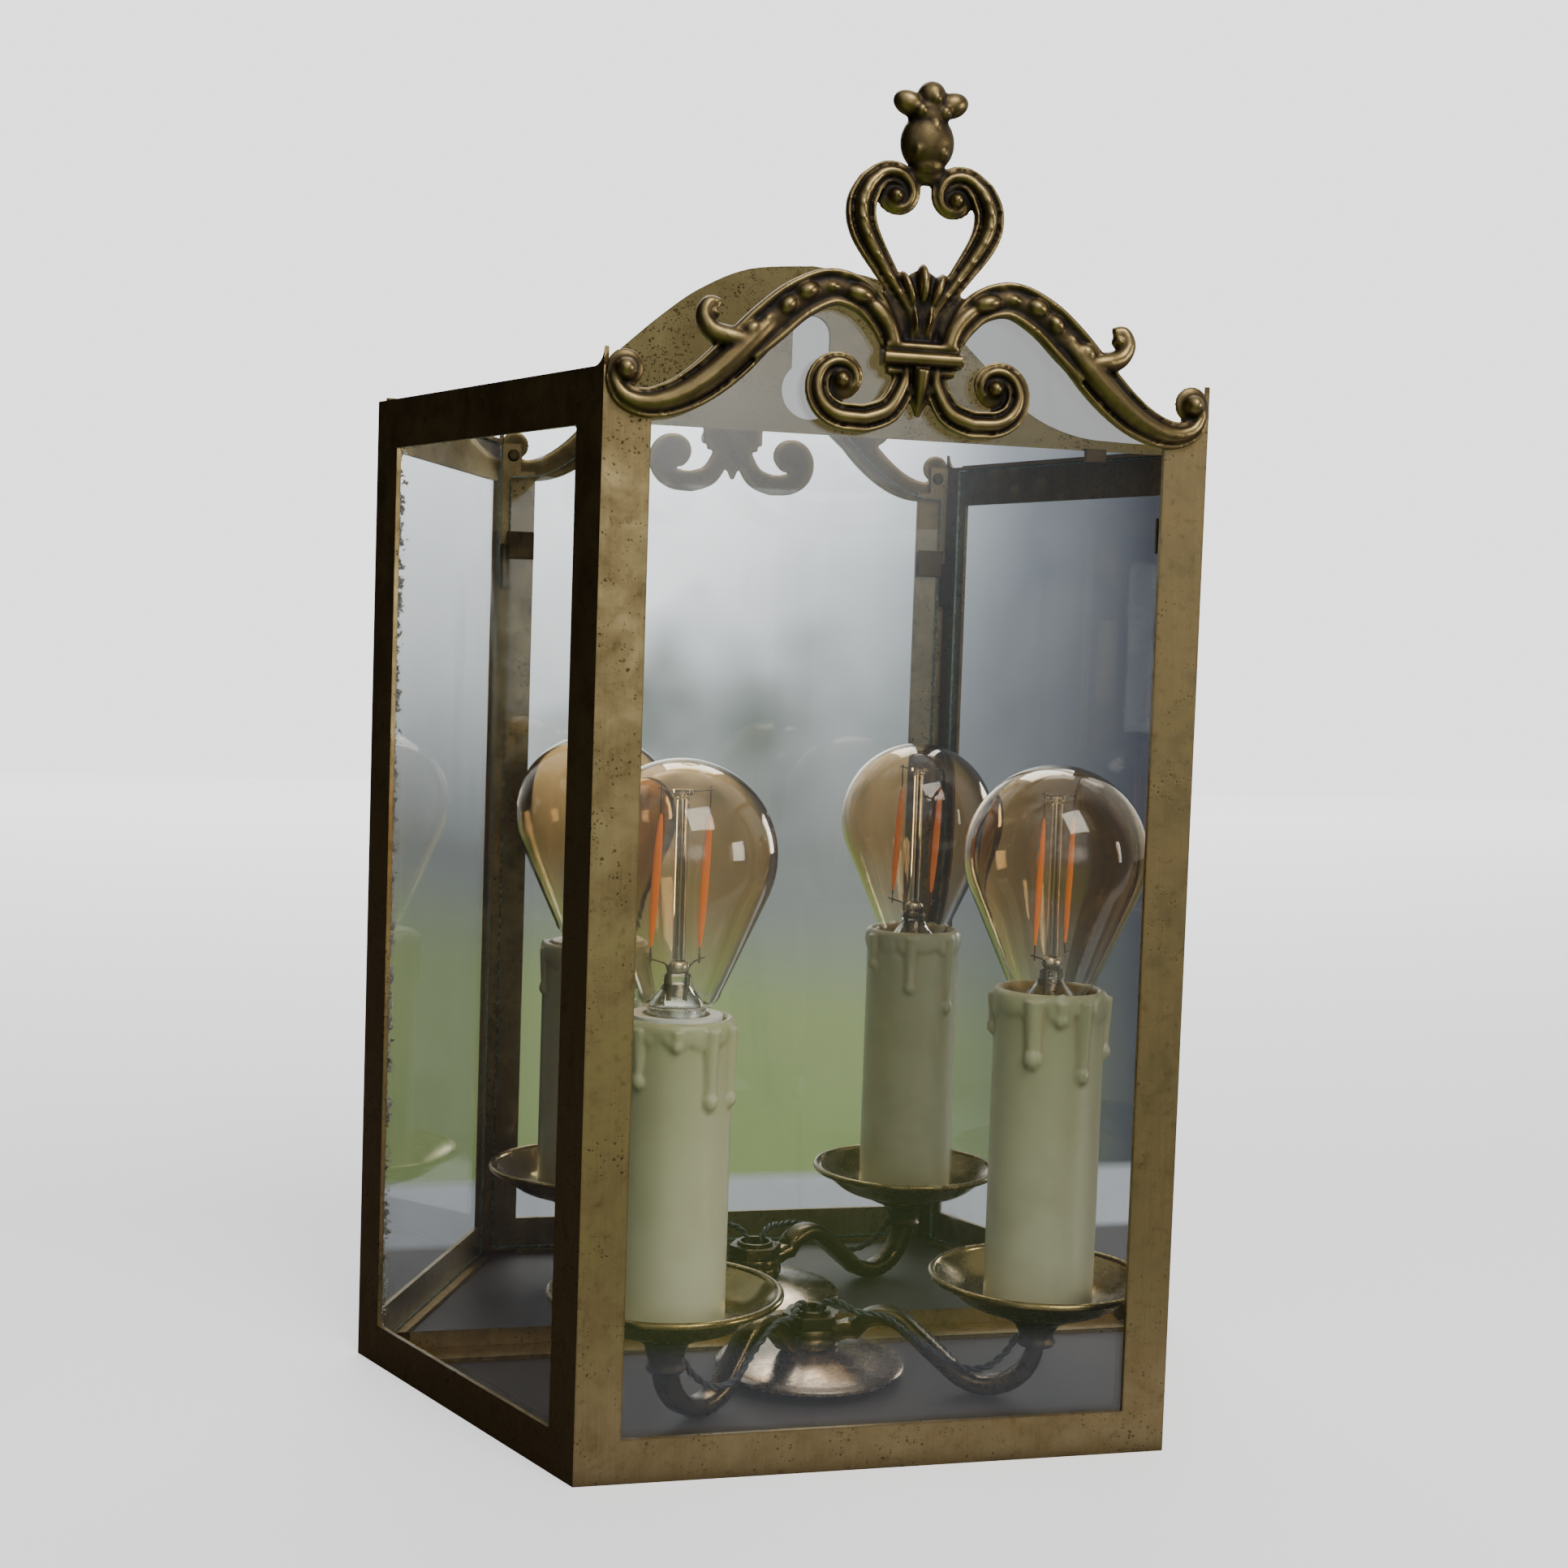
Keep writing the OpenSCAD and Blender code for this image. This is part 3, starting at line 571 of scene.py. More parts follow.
finish = {
    "frameBrass": sheetBrass("frameBrass", (0.345, 0.255, 0.12), (0.23, 0.162, 0.072), blotchScale=85.0,
                             speckScale=1100.0, speckReach=0.42),
    "plateBrass": sheetBrass("plateBrass", (0.17, 0.135, 0.058), (0.125, 0.097, 0.04), blotchScale=40.0,
                             speckScale=1500.0, speckReach=0.62, rough=(0.38, 0.5)),
    "trimBrass": sheetBrass("trimBrass", (0.12, 0.085, 0.04), (0.05, 0.035, 0.02), rough=(0.4, 0.6)),
    "castBrass": castBrass(),
    "panBrass": turnedBrass("panBrass", (0.32, 0.235, 0.09), (0.17, 0.118, 0.045), rough=(0.12, 0.28)),
    "armBrass": turnedBrass("armBrass", (0.125, 0.085, 0.037), (0.045, 0.031, 0.015), rough=(0.2, 0.36)),
    "discBronze": turnedBrass("discBronze", (0.5, 0.4, 0.29), (0.3, 0.225, 0.155), rough=(0.17, 0.27),
                              blotchScale=35.0, speckReach=0.02),
    "steel": plainMetal("steel", (0.55, 0.55, 0.56), 0.25),
    "capMetal": plainMetal("capMetal", (0.7, 0.7, 0.68), 0.22),
    "leadWire": plainMetal("leadWire", (0.2, 0.19, 0.18), 0.3),
    "silvering": silvering(),
    "windowGlass": windowGlass(),
    "glassEdge": glassEdge(),
    "clearGlass": clearGlass(),
    "holderPlastic": plainPlastic("holderPlastic", (0.8, 0.77, 0.66), 0.4),
    # the filaments get a faint painted glow, though the bulbs give no light
    "filamentOrangeGlow": plainPlastic("filamentOrangeGlow", (0.9, 0.29, 0.045), 0.4, glow=0.25),
    "insulation": plainPlastic("insulation", (0.012, 0.012, 0.013), 0.45),
}
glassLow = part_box("bulb_glass_left")[0].z
tintReach = 0.025  # how far up the amber takes to reach its full depth
finish["amberGlass"] = amberGlass(glassLow, glassLow + tintReach)
finish["waxCream"] = waxCream(*(corner.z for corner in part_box("candle_sleeve_left")))
print("finishes made")


view = {"place": (-0.14024, -0.49546, 0.18242), "turn": -14.11, "rise": 3.41, "roll": 1.93,
        "lens": 48.72, "sensor": 36, "nearest": 0.01}

turn, rise, roll = (math.radians(view[key]) for key in ("turn", "rise", "roll"))
back = Vector((math.sin(turn) * math.cos(rise), -math.cos(turn) * math.cos(rise), math.sin(rise)))
across = Vector((math.cos(turn), math.sin(turn), 0))
upward = back.cross(across)
leanX = math.cos(roll) * across + math.sin(roll) * upward
leanY = math.cos(roll) * upward - math.sin(roll) * across
camera = bpy.data.objects.new("camera", bpy.data.cameras.new("camera"))
bpy.context.collection.objects.link(camera)
camera.matrix_world = Matrix.Translation(view["place"]) @ Matrix((leanX, leanY, back)).transposed().to_4x4()
camera.data.lens = view["lens"]
camera.data.sensor_width = view["sensor"]
camera.data.clip_start = view["nearest"]
bpy.context.scene.camera = camera
print("camera placed")


sheetWork = {
    "bevel": 0.25, "plateBevel": 0.15, "thinBevel": 0.12,
    "soldered": ["corner_post_left", "front_bottom_rail", "corner_post_right", "side_bottom_rail_left",
                 "side_bottom_rail_right", "side_top_rail_left", "side_top_rail_right",
                 "rear_stile_left", "rear_stile_right"],
}


def soldered(nodes, bevel):
    # joins touching sheet parts into one skin, so that no edge shows where they meet
    base = fromNode(nodes[0], 0)
    for node in nodes[1:]:
        other = fromNode(node, 0)
        useModifier(base, "BOOLEAN", operation="UNION", solver="EXACT", object=other)
        bpy.data.objects.remove(other)
    return softened(base, bevel, 2, 0.00001)


def buildFrame():
    work = sheetWork
    keep(soldered(work["soldered"], work["bevel"]), "frame_soldered", "lantern",
         finish["frameBrass"], work["soldered"])
    for node in ("back_bottom_rail", "lamp_strap"):
        keep(fromNode(node, work["bevel"]), node + "_sheet", "lantern",
             finish["frameBrass"], [node])
    keep(fromNode("back_plate", work["plateBevel"], 1), "back_plate_sheet", "lantern",
         finish["plateBrass"], ["back_plate"])
    for node in ("mirror_tabs", "pane_clip_left", "pane_clip_right"):
        keep(fromNode(node, work["thinBevel"]), node + "_bent", "lantern",
             finish["trimBrass"], [node])


buildFrame()
print("frame built")


mirrorWork = {"chip": 0.5, "chipStep": 1.3, "cornerKept": 1.0}


def buildMirror():
    work = mirrorWork
    low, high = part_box("mirror")
    clearSelection()
    bpy.ops.mesh.primitive_cube_add(size=1, location=(low + high) / 2, scale=high - low)
    obj = bpy.context.object
    applyPlace(obj)
    bpy.ops.object.mode_set(mode="EDIT")
    # the long rims get short steps, so that they can be nibbled
    mesh = bmesh.from_edit_mesh(obj.data)
    longest = max(high.x - low.x, high.z - low.z)
    for edge in mesh.edges:
        edge.select = abs((edge.verts[0].co - edge.verts[1].co).z) > longest / 2
    bmesh.update_edit_mesh(obj.data)
    bpy.ops.mesh.subdivide(number_cuts=int((high.z - low.z) / (work["chipStep"] * mm)))
    bpy.ops.object.mode_set(mode="OBJECT")
    corner = work["cornerKept"] * mm
    for vert in obj.data.vertices:
        if low.z + corner < vert.co.z < high.z - corner:
            broad = noise.noise(Vector((vert.co.x * 50, 0, vert.co.z * 400)))
            fine = noise.noise(Vector((vert.co.x * 90, 5, vert.co.z * 1400)))
            vert.co.x -= math.copysign(max(0, broad + 0.6 * fine) * work["chip"] * mm, vert.co.x)
    return keep(obj, "mirror_silvered", "lantern", finish["silvering"], ["mirror"])


def buildPane(node):
    # the broad faces are clear and the cut edges greenish
    obj = fromNode(node, 0.2, 1)
    pick(obj)
    bpy.ops.object.shade_flat()
    obj.data.materials.clear()
    obj.data.materials.append(finish["windowGlass"])
    obj.data.materials.append(finish["glassEdge"])
    faces = sorted(obj.data.polygons, key=lambda face: -face.area)
    wide = faces[0].normal.copy()
    for face in obj.data.polygons:
        face.material_index = 0 if abs(face.normal.dot(wide)) > 0.99 else 1
    return keep(obj, node + "_glass", "lantern", None, [node])


buildMirror()
for node in ("front_pane", "side_pane_left", "side_pane_right"):
    buildPane(node)
print("mirror and panes built")


crestWork = {
    "voxel": 0.36, "depth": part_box("crest")[1].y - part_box("crest")[0].y, "wearRounds": 60, "wearGain": 2600,
    # half sections, from the rim to the middle: share of the width, and height
    "rib": [(-0.5, 0), (-0.5, 0.29), (-0.47, 0.36), (-0.42, 0.385), (-0.37, 0.35), (-0.335, 0.24),
            (-0.3, 0.19), (-0.265, 0.25), (-0.21, 0.42), (-0.12, 0.53), (0, 0.565)],
    "broad": [(-0.5, 0), (-0.5, 0.24), (-0.47, 0.3), (-0.43, 0.315), (-0.39, 0.27), (-0.365, 0.15),
              (-0.335, 0.17), (-0.29, 0.33), (-0.17, 0.47), (0, 0.52)],
    "trough": [(-0.5, 0), (-0.5, 0.3), (-0.46, 0.39), (-0.4, 0.41), (-0.35, 0.36), (-0.27, 0.31),
               (-0.12, 0.36), (0, 0.38)],
    "round": [(-0.5, 0), (-0.5, 0.35), (-0.42, 0.6), (-0.22, 0.8), (0, 0.86)],
    # runs on the right half: x, z, width
    "arm": [(27.5, 259.4, 1.5), (31.5, 256.3, 5.2), (36, 252.3, 8.2), (42, 246.2, 9.2), (48, 240.8, 8.6),
            (54, 237.1, 7.6), (60, 235.5, 6.4), (64.8, 236.6, 5.2), (67.2, 239.8, 4.1), (67.0, 243.2, 3.2),
            (65.2, 245.0, 2.4)],
    "leafArm": [(6.5, 250.5, 4.6), (9, 256, 6), (13.5, 260.8, 7.2), (20.5, 262.6, 8), (28, 259.3, 8.8),
                (34.5, 253.8, 9.2), (40, 248.6, 8.6)],
    "innerRib": [(6.3, 251.5, 4), (7.8, 255.5, 4.2), (10.8, 258.9, 4), (14, 260.4, 3)],
    "heart": [(1.9, 252.5, 2.6), (2.8, 258.5, 3.8), (8.3, 266.6, 4.9), (13.6, 275, 6.4), (14.6, 281, 6.6),
              (12.4, 286, 5.8)],
    "scroll": [(3.2, 247.5, 4.6), (3.9, 242.5, 5.4), (7.2, 237, 6.1), (13.2, 234.7, 6.3)],
    "curl": [(38.5, 249.6, 5.0), (42.5, 250.2, 5.2), (46.6, 251.6, 4.4), (48.5, 254.6, 3.8),
             (47.4, 257.4, 3.2), (45.0, 257.2, 2.6)],
    "sideStems": [[(0.9, 252, 1.6), (1.6, 258, 1.7), (4.6, 263.5, 1.8)],
                  [(4.6, 252, 1.8), (5.4, 257.5, 1.9), (9.4, 262.2, 1.9)]],
    "midStem": [(0, 252, 1.6), (0, 262, 2.0)],
    "leaf": [(0, 246, 8.4), (0, 242, 6.4), (0, 238.6, 3.4), (0, 235.8, 1.2)],
    # coils: centre, radii, angles, widths
    "heartCoil": ((7.0, 283.6), (5.3, 2.1), (48, 335), (5, 2.3)),
    "scrollCoil": ((17.2, 242.6), (7.6, 2.1), (-96, 215), (6.2, 2.6)),
    # lumps: x, z, length, breadth, height, lean, base
    "nodules": [(14.6, 261.4, 8.6, 4.9, 4.6, 12), (20.8, 262.6, 5.4, 3.4, 3.7, -4),
                (26.2, 261.2, 7.0, 5.0, 4.7, -20), (30.6, 257.9, 6.6, 4.8, 4.7, -42),
                (34.8, 254.6, 4.4, 3.6, 3.9, -42), (38.2, 252.2, 6.6, 5.2, 4.6, -38),
                (42.0, 250.8, 5.4, 3.8, 3.8, -10), (18.0, 265.0, 4.4, 2.0, 3.0, 5),
                (24.4, 264.6, 4.4, 2.0, 3.0, -15), (31.2, 261.4, 4.4, 2.0, 2.8, -35)],
    "eyes": [(65.0, 242.4, 5.4, 5.4, 4.2), (17.6, 243.1, 4.0, 4.0, 3.4), (6.9, 283.2, 3.8, 3.8, 3.6),
             (46.3, 255.4, 3.0, 3.0, 3.0)],
    "webs": [(65, 242.6, 8.6, 8.6, 1.6), (17.4, 243, 9, 9, 1.2), (7, 283.4, 8.5, 8.5, 1.2)],
    "palmette": [(0, 259.8, 11.6, 17, 1.9), (0, 264.6, 9.6, 3.2, 4.1, 90),
                 (-3.3, 263.4, 9.0, 2.6, 3.7, 110), (-1.6, 257.2, 9.0, 1.3, 3.0, 98),
                 (3.3, 263.4, 9.0, 2.6, 3.7, 70), (1.6, 257.2, 9.0, 1.3, 3.0, 82)],
    "backing": [(0, 248.4, 17, 8, 2.2), (0, 288.4, 9, 5, 2.6)],
    "finial": [(0, 295.2, 12.2, 13.2, 4.3, 0, 0.5), (0, 300.6, 9.2, 6.4, 3.6, 0, 0.6),
               (0, 290.2, 7.4, 5, 2.7, 0, 1.0), (0.9, 298.0, 4.2, 5.6, 3.1, 0, 1.6),
               (-2.7, 293.2, 3.4, 4.2, 3.0, 0, 1.6), (2.8, 292.8, 3.4, 4.2, 3.0, 0, 1.6),
               (0.4, 304.9, 6.6, 7, 3.2, 0, 1.2), (0.8, 304.2, 3.4, 3.4, 2.2, 0, 2.6),
               (-4.6, 303.2, 7.6, 5.4, 2.6, 160, 1.2), (5.0, 303.5, 7.8, 5.6, 2.6, 16, 1.2),
               (0.2, 302.2, 9.6, 4.6, 2.9, 0, 1.2), (-2.4, 301.6, 3.4, 3.4, 2.4, 0, 2.2),
               (3.0, 301.4, 3.4, 3.4, 2.4, 0, 2.2)],
    "finialFrom": 289, "finialWear": 0.84,
    "heartLumps": 7, "heartLump": (3.0, 2.4, 0.62, 60),
    # the band's bars: half length, z, width, depth
    "bars": [(8.3, 251.0, 2.3, 1.35), (9.2, 248.3, 3.6, 1.36), (7.9, 245.6, 1.9, 1.35)],
    "barSwell": 1.2,
}


def whole(half):
    # mirrors half a section to the other side
    return half + [(-n, h) for n, h in reversed(half[:-1])]


def ribbon(run, section):
    return swept(flow(crestWork[run]), whole(crestWork[section]))


def lump(x, z, length, breadth, height, lean=0.0, base=0.0):
    bpy.ops.mesh.primitive_uv_sphere_add(segments=24, ring_count=14, radius=1,
                                         location=(x * mm, z * mm, base * mm),
                                         rotation=(0, 0, math.radians(lean)),
                                         scale=(length / 2 * mm, breadth / 2 * mm, height * mm))
    return bpy.context.object


def paintWear(obj, rounds, gain):
    # high places tend to 1 and hollows to 0, from how far each point stands off its smoothed surface
    mesh = obj.data
    count = len(mesh.vertices)
    place = np.empty(count * 3)
    mesh.vertices.foreach_get("co", place)
    place = place.reshape(-1, 3)
    normal = np.empty(count * 3)
    mesh.vertices.foreach_get("normal", normal)
    normal = normal.reshape(-1, 3)
    ends = np.empty(len(mesh.edges) * 2, int)
    mesh.edges.foreach_get("vertices", ends)
    ends = ends.reshape(-1, 2)
    both = np.concatenate([ends, ends[:, ::-1]])
    degree = np.maximum(np.bincount(both[:, 0], minlength=count), 1)
    calm = place.copy()
    total = np.zeros(count)
    for i in range(rounds):
        summed = [np.bincount(both[:, 0], calm[both[:, 1], k], count) for k in range(3)]
        calm = np.stack(summed, 1) / degree[:, None]
        if i in (rounds // 6, rounds // 2, rounds - 1):
            total += ((place - calm) * normal).sum(1) / math.sqrt(i + 1)
    wear = np.clip(0.5 + total * gain, 0, 1)
    for i in range(2):
        wear = 0.5 * wear + 0.5 * np.bincount(both[:, 0], wear[both[:, 1]], count) / degree
    layer = mesh.attributes.new("wear", "FLOAT", "POINT")
    layer.data.foreach_set("value", wear.astype(np.float32))
    return wear


def crestHalf():
    # drawn lying down, x across and y up; it is stood up once both halves are there
    work = crestWork
    half = [ribbon("arm", "broad"), ribbon("leafArm", "trough"), ribbon("innerRib", "round")]
    half.append(swept(flow(work["heart"])[:-1] + coil(*work["heartCoil"]), whole(work["rib"])))
    half.append(swept(flow(work["scroll"])[:-1] + coil(*work["scrollCoil"], steps=24), whole(work["rib"])))
    half.append(ribbon("curl", "round"))
    half += [swept(flow(stem), whole(work["round"])) for stem in work["sideStems"]]
    half += [lump(*spot) for spot in work["nodules"] + work["eyes"]]
    leg = flow(work["heart"], 10)
    length, breadth, rise, lean = work["heartLump"]
    for i in range(work["heartLumps"]):
        spot = leg[int((0.3 + 0.68 * i / work["heartLumps"]) * (len(leg) - 1))]
        half.append(lump(spot.x, spot.y, length, breadth, spot.z * rise, lean))
    half += [lump(*spot) for spot in work["webs"]]
    return joinAll(half, "crestRight")


def mirroredCopy(obj):
    pick(obj)
    bpy.ops.object.duplicate()
    other = bpy.context.object
    other.scale = (-1, 1, 1)
    applyPlace(obj)
    applyPlace(other)
    bpy.ops.object.mode_set(mode="EDIT")
    bpy.ops.mesh.select_all(action="SELECT")
    bpy.ops.mesh.flip_normals()
    bpy.ops.object.mode_set(mode="OBJECT")
    return other


def buildCrest():
    work = crestWork
    right = crestHalf()
    pieces = [right, mirroredCopy(right)]
    for reach, z, width, depth in work["bars"]:
        pieces.append(swept([Vector((x, z, width)) for x in (-reach, 0, reach)],
                            [(n, h * depth * work["barSwell"]) for n, h in whole(work["round"])]))
    pieces += [ribbon("midStem", "round"), ribbon("leaf", "rib")]
    pieces += [lump(*spot) for spot in work["palmette"] + work["backing"]]
    relief = joinAll(pieces, "crest_cast")
    applyPlace(relief)
    for vert in relief.data.vertices:
        vert.co.z = min(max(vert.co.z, 0), work["depth"])
    # the finial is cast in the round
    crest = joinAll([relief] + [lump(*spot) for spot in work["finial"]], "crest_cast")
    for vert in crest.data.vertices:
        vert.co.z = min(vert.co.z, work["depth"] - 0.00005)
    crest.rotation_euler = (math.radians(90), 0, 0)
    crest.location = (0, frontY, 0)
    applyPlace(crest)
    useModifier(crest, "REMESH", mode="VOXEL", voxel_size=work["voxel"] * mm, use_smooth_shade=True)
    useModifier(crest, "SMOOTH", factor=0.5, iterations=6)
    wear = paintWear(crest, work["wearRounds"], work["wearGain"])
    # the finial's wear is scaled down, so it comes out darker
    heights = np.array([vert.co.z for vert in crest.data.vertices])
    wear = np.where(heights > work["finialFrom"] * mm, wear * work["finialWear"], wear)
    crest.data.attributes["wear"].data.foreach_set("value", wear.astype(np.float32))
    print("crest", len(crest.data.polygons), "faces")
    smoothAll(crest)
    keep(crest, "crest_cast", "lantern", finish["castBrass"], ["crest"])


buildCrest()
print("crest built")


armWork = {
    "width": 6.4, "thick": 4.4, "edge": 1.3, "crestAt": (19, 9.3), "crestRadius": 8.5,
    "dipRadius": 12.5, "dipLow": 2.8, "neckFoot": 14.35,
    # the eye goes round the nipple; the two eyes lie on each other
    "eyeRadius": 7.5, "eyeBore": 5.1, "eyeThick": 2.4, "eyeLow": {"left": 9.0, "right": 11.45},
}
panWork = {
    # turned outlines: radius and height
    "neck": [(3.6, 14.4), (4.5, 14.4), (4.9, 15.1), (4.3, 16.0), (4.2, 16.9), (5.3, 18.1), (5.6, 18.6),
             (6.9, 19.7), (9.4, 20.7), (9.9, 21.4), (9.7, 22.2), (9.2, 22.8), (3.6, 22.8)],
    "dish": [(14.6, 22.9), (19, 24.7), (23.5, 28.2), (26.2, 30.2)],
    "bore": 3.6, "wall": 1.1, "floor": 22.9, "rimAt": (26.5, 30.6), "rim": 0.9, "neckStretchesAt": 17.5,
}


def armRun(side):
    # out from the nipple, over the crest, round the dip and up to the neck
    work = armWork
    reach = (lampAt[side] - discCentre).xy.length / mm
    mid = work["eyeLow"][side] + work["eyeThick"] / 2
    cx, cz = work["crestAt"]
    dx, dz = reach - work["dipRadius"], work["dipLow"] + work["dipRadius"]
    run = [(3, mid, 1), (7.4, mid, 1), (9.6, mid + 1.0, 1)]
    for a in range(150, 45, -10):
        run.append((cx + work["crestRadius"] * math.cos(math.radians(a)),
                    cz + work["crestRadius"] * math.sin(math.radians(a)), 1))
    for a in range(228, 356, 8):
        run.append((dx + work["dipRadius"] * math.cos(math.radians(a)),
                    dz + work["dipRadius"] * math.sin(math.radians(a)), 1))
    run.append((reach - 0.05, work["neckFoot"], 1))
    return [Vector(p) for p in run]


def standAlongArm(obj, side):
    # a piece drawn on the floor plane, x out along the arm and y up, is stood up and turned to its arm
    towards = lampAt[side] - discCentre
    obj.rotation_euler = (math.radians(90), 0, math.atan2(towards.y, towards.x))
    obj.location = discCentre
    applyPlace(obj)


def buildArm(side):
    work = armWork
    w, t, e = work["width"] / 2, work["thick"] / 2, work["edge"]
    section = [(-t, -w + e), (-t, w - e), (-t + e * 0.3, w - e * 0.3), (-t + e, w), (t - e, w),
               (t - e * 0.3, w - e * 0.3), (t, w - e), (t, -w + e), (t - e * 0.3, -w + e * 0.3), (t - e, -w),
               (-t + e, -w), (-t + e * 0.3, -w + e * 0.3)]
    bar = swept(armRun(side), section)
    standAlongArm(bar, side)
    low, high = work["eyeLow"][side], work["eyeLow"][side] + work["eyeThick"]
    bore, radius = work["eyeBore"], work["eyeRadius"]
    eye = turned([(bore, low + 0.2), (bore + 0.2, low), (radius - 0.3, low), (radius, low + 0.4),
                  (radius, high - 0.4), (radius - 0.3, high), (bore + 0.2, high), (bore, high - 0.2)], 64)
    eye.location = discCentre
    applyPlace(eye)
    arm = joinAll([bar, eye], "arm")
    smoothBy(arm, 45)
    keep(arm, "arm_" + side + "_bar", "lantern", finish["armBrass"], ["arm_" + side])


def atLamp(obj, side):
    obj.location = (lampAt[side].x, lampAt[side].y, 0)
    applyPlace(obj)
    return obj


def buildPan(side):
    work = panWork
    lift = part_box("drip_pan_" + side)[0].z / mm - work["floor"]
    # a lifted pan stands on a neck whose upper half is lifted with it
    neck = atLamp(turned([(r, z + lift * (z > work["neckStretchesAt"])) for r, z in work["neck"]], 64), side)
    keep(neck, "neck_" + side + "_turned", "lantern", finish["armBrass"], ["neck_" + side])
    under = flow([(r, z, 0) for r, z in work["dish"]], 5)
    outline = [(work["bore"], work["floor"])] + [(p.x, p.y) for p in under]
    for k in range(9):
        a = math.radians(-60 + 240 * k / 8)
        outline.append((work["rimAt"][0] + work["rim"] * math.cos(a),
                        work["rimAt"][1] + work["rim"] * math.sin(a)))
    outline += [(p.x - 0.35, p.y + work["wall"]) for p in reversed(under[:-2])]
    outline.append((work["bore"], work["floor"] + work["wall"]))
    pan = atLamp(turned([(r, z + lift) for r, z in outline], 128), side)
    keep(pan, "drip_pan_" + side + "_turned", "lantern", finish["panBrass"],
         ["drip_pan_" + side])


discWork = {"bore": 5.1, "rim": 0.5, "rimThick": 1.2, "wall": 1.15, "swell": 0.8, "steps": 14}


def buildDisc():
    # a shallow dome, hollow underneath
    work = discWork
    low, top = discLow.z / mm, discHigh.z / mm
    radius = (discHigh.x - discLow.x) / 2 / mm
    bore, thick = work["bore"], work["rimThick"]
    outer = []
    for k in range(work["steps"] + 1):
        r = bore + (radius - work["rim"] - bore) * k / work["steps"]
        dome = math.cos(math.pi / 2 * r / radius) ** work["swell"]
        outer.append((r, low + thick + (top - low - thick) * dome))
    outline = outer + [(radius, low + 1.0), (radius, low + 0.3), (radius - 0.4, low)]
    outline += [(r, z - work["wall"]) for r, z in reversed(outer[:-1])]
    disc = turned(outline, 96)
    disc.location = discCentre
    keep(disc, "base_disc_turned", "lantern", finish["discBronze"], ["base_disc"])


for side in sides:
    buildArm(side)
    buildPan(side)
buildDisc()
for node, bevel in (("centre_nut", 0.3), ("centre_nipple", 0.2)):
    keep(fromNode(node, bevel), node + "_soft", "lantern", finish["armBrass"], [node])
print("arms and pans built")


sleeveWork = {
    "bore": 12, "radius": 13.5, "voxel": 0.5, "wearRounds": 24, "wearGain": 1500,
    # the mouth, from below up and in: radius and distance below the top
    "mouth": [(13.5, 5.1), (13.75, 3.4), (14.05, 2.0), (13.9, 0.9), (13.3, 0.2), (12.6, 0), (11.9, 0.2),
              (11.4, 0.8), (11.3, 1.7), (11.6, 2.8), (12, 4.2)],
    # drips: heading in degrees, length, radius of the bead
    "left": [(-139, 13.5, 1.5), (-64, 18, 1.7), (-30, 18.5, 1.5), (-100, 5, 1.3), (45, 16, 1.5),
             (96, 20, 1.6), (170, 13, 1.4)],
    "right": [(-127, 15.5, 1.95), (-73, 19.5, 1.7), (-196, 10, 1.6), (-22, 15, 1.6), (-100, 6, 1.4),
              (58, 22, 1.6), (110, 16, 1.4)],
    "curtain": 13, "curtainDrop": (2.0, 4.2), "curtainBreadth": (2.6, 3.8), "curtainBelow": 3.4,
}


def drip(radius, heading, top, length, bead):
    # a run of wax that swells to a bead at its foot
    a = math.radians(heading)
    foot = Vector((math.cos(a), math.sin(a), 0)) * (radius + 0.05) * mm
    bpy.ops.mesh.primitive_uv_sphere_add(segments=20, ring_count=14, radius=bead * 1.1 * mm,
                                         location=foot + Vector((0, 0, (top - length) * mm)),
                                         scale=(1, 1, 1.25))
    blob = bpy.context.object
    bpy.ops.mesh.primitive_cone_add(vertices=20, radius1=bead * 0.75 * mm, radius2=bead * 1.25 * mm,
                                    depth=length * mm,
                                    location=foot * 0.985 + Vector((0, 0, (top - 1.5 - length / 2) * mm)))
    return [blob, bpy.context.object]


def buildSleeve(side):
    work = sleeveWork
    radius = work["radius"]
    low, high = (spot.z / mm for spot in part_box("candle_sleeve_" + side))
    outline = [(work["bore"], low), (radius - 0.05, low), (radius, low + 0.5)]
    parts = [turned(outline + [(r, high - drop) for r, drop in work["mouth"]], 96)]
    for heading, length, bead in work[side]:
        parts += drip(radius, heading, high, length, bead)
    # a curtain of short soft swellings under the rim
    for k in range(work["curtain"]):
        a = math.tau * (k + 0.5 * random.random()) / work["curtain"]
        drop = random.uniform(*work["curtainDrop"])
        place = (math.cos(a) * radius * mm, math.sin(a) * radius * mm, (high - work["curtainBelow"]) * mm)
        bpy.ops.mesh.primitive_uv_sphere_add(segments=20, ring_count=12, radius=mm, rotation=(0, 0, a),
                                             location=place,
                                             scale=(0.75, random.uniform(*work["curtainBreadth"]), drop))
        parts.append(bpy.context.object)
    sleeve = joinAll(parts, "sleeve")
    applyPlace(sleeve)
    useModifier(sleeve, "REMESH", mode="VOXEL", voxel_size=work["voxel"] * mm, use_smooth_shade=True)
    useModifier(sleeve, "SMOOTH", factor=0.5, iterations=3)
    paintWear(sleeve, work["wearRounds"], work["wearGain"])
    atLamp(sleeve, side)
    smoothAll(sleeve)
    print("sleeve", side, len(sleeve.data.polygons), "faces")
    keep(sleeve, "candle_sleeve_" + side + "_wax", "sleeve_" + side, finish["waxCream"],
         ["candle_sleeve_" + side])


for side in sides:
    buildSleeve(side)
print("sleeves built")


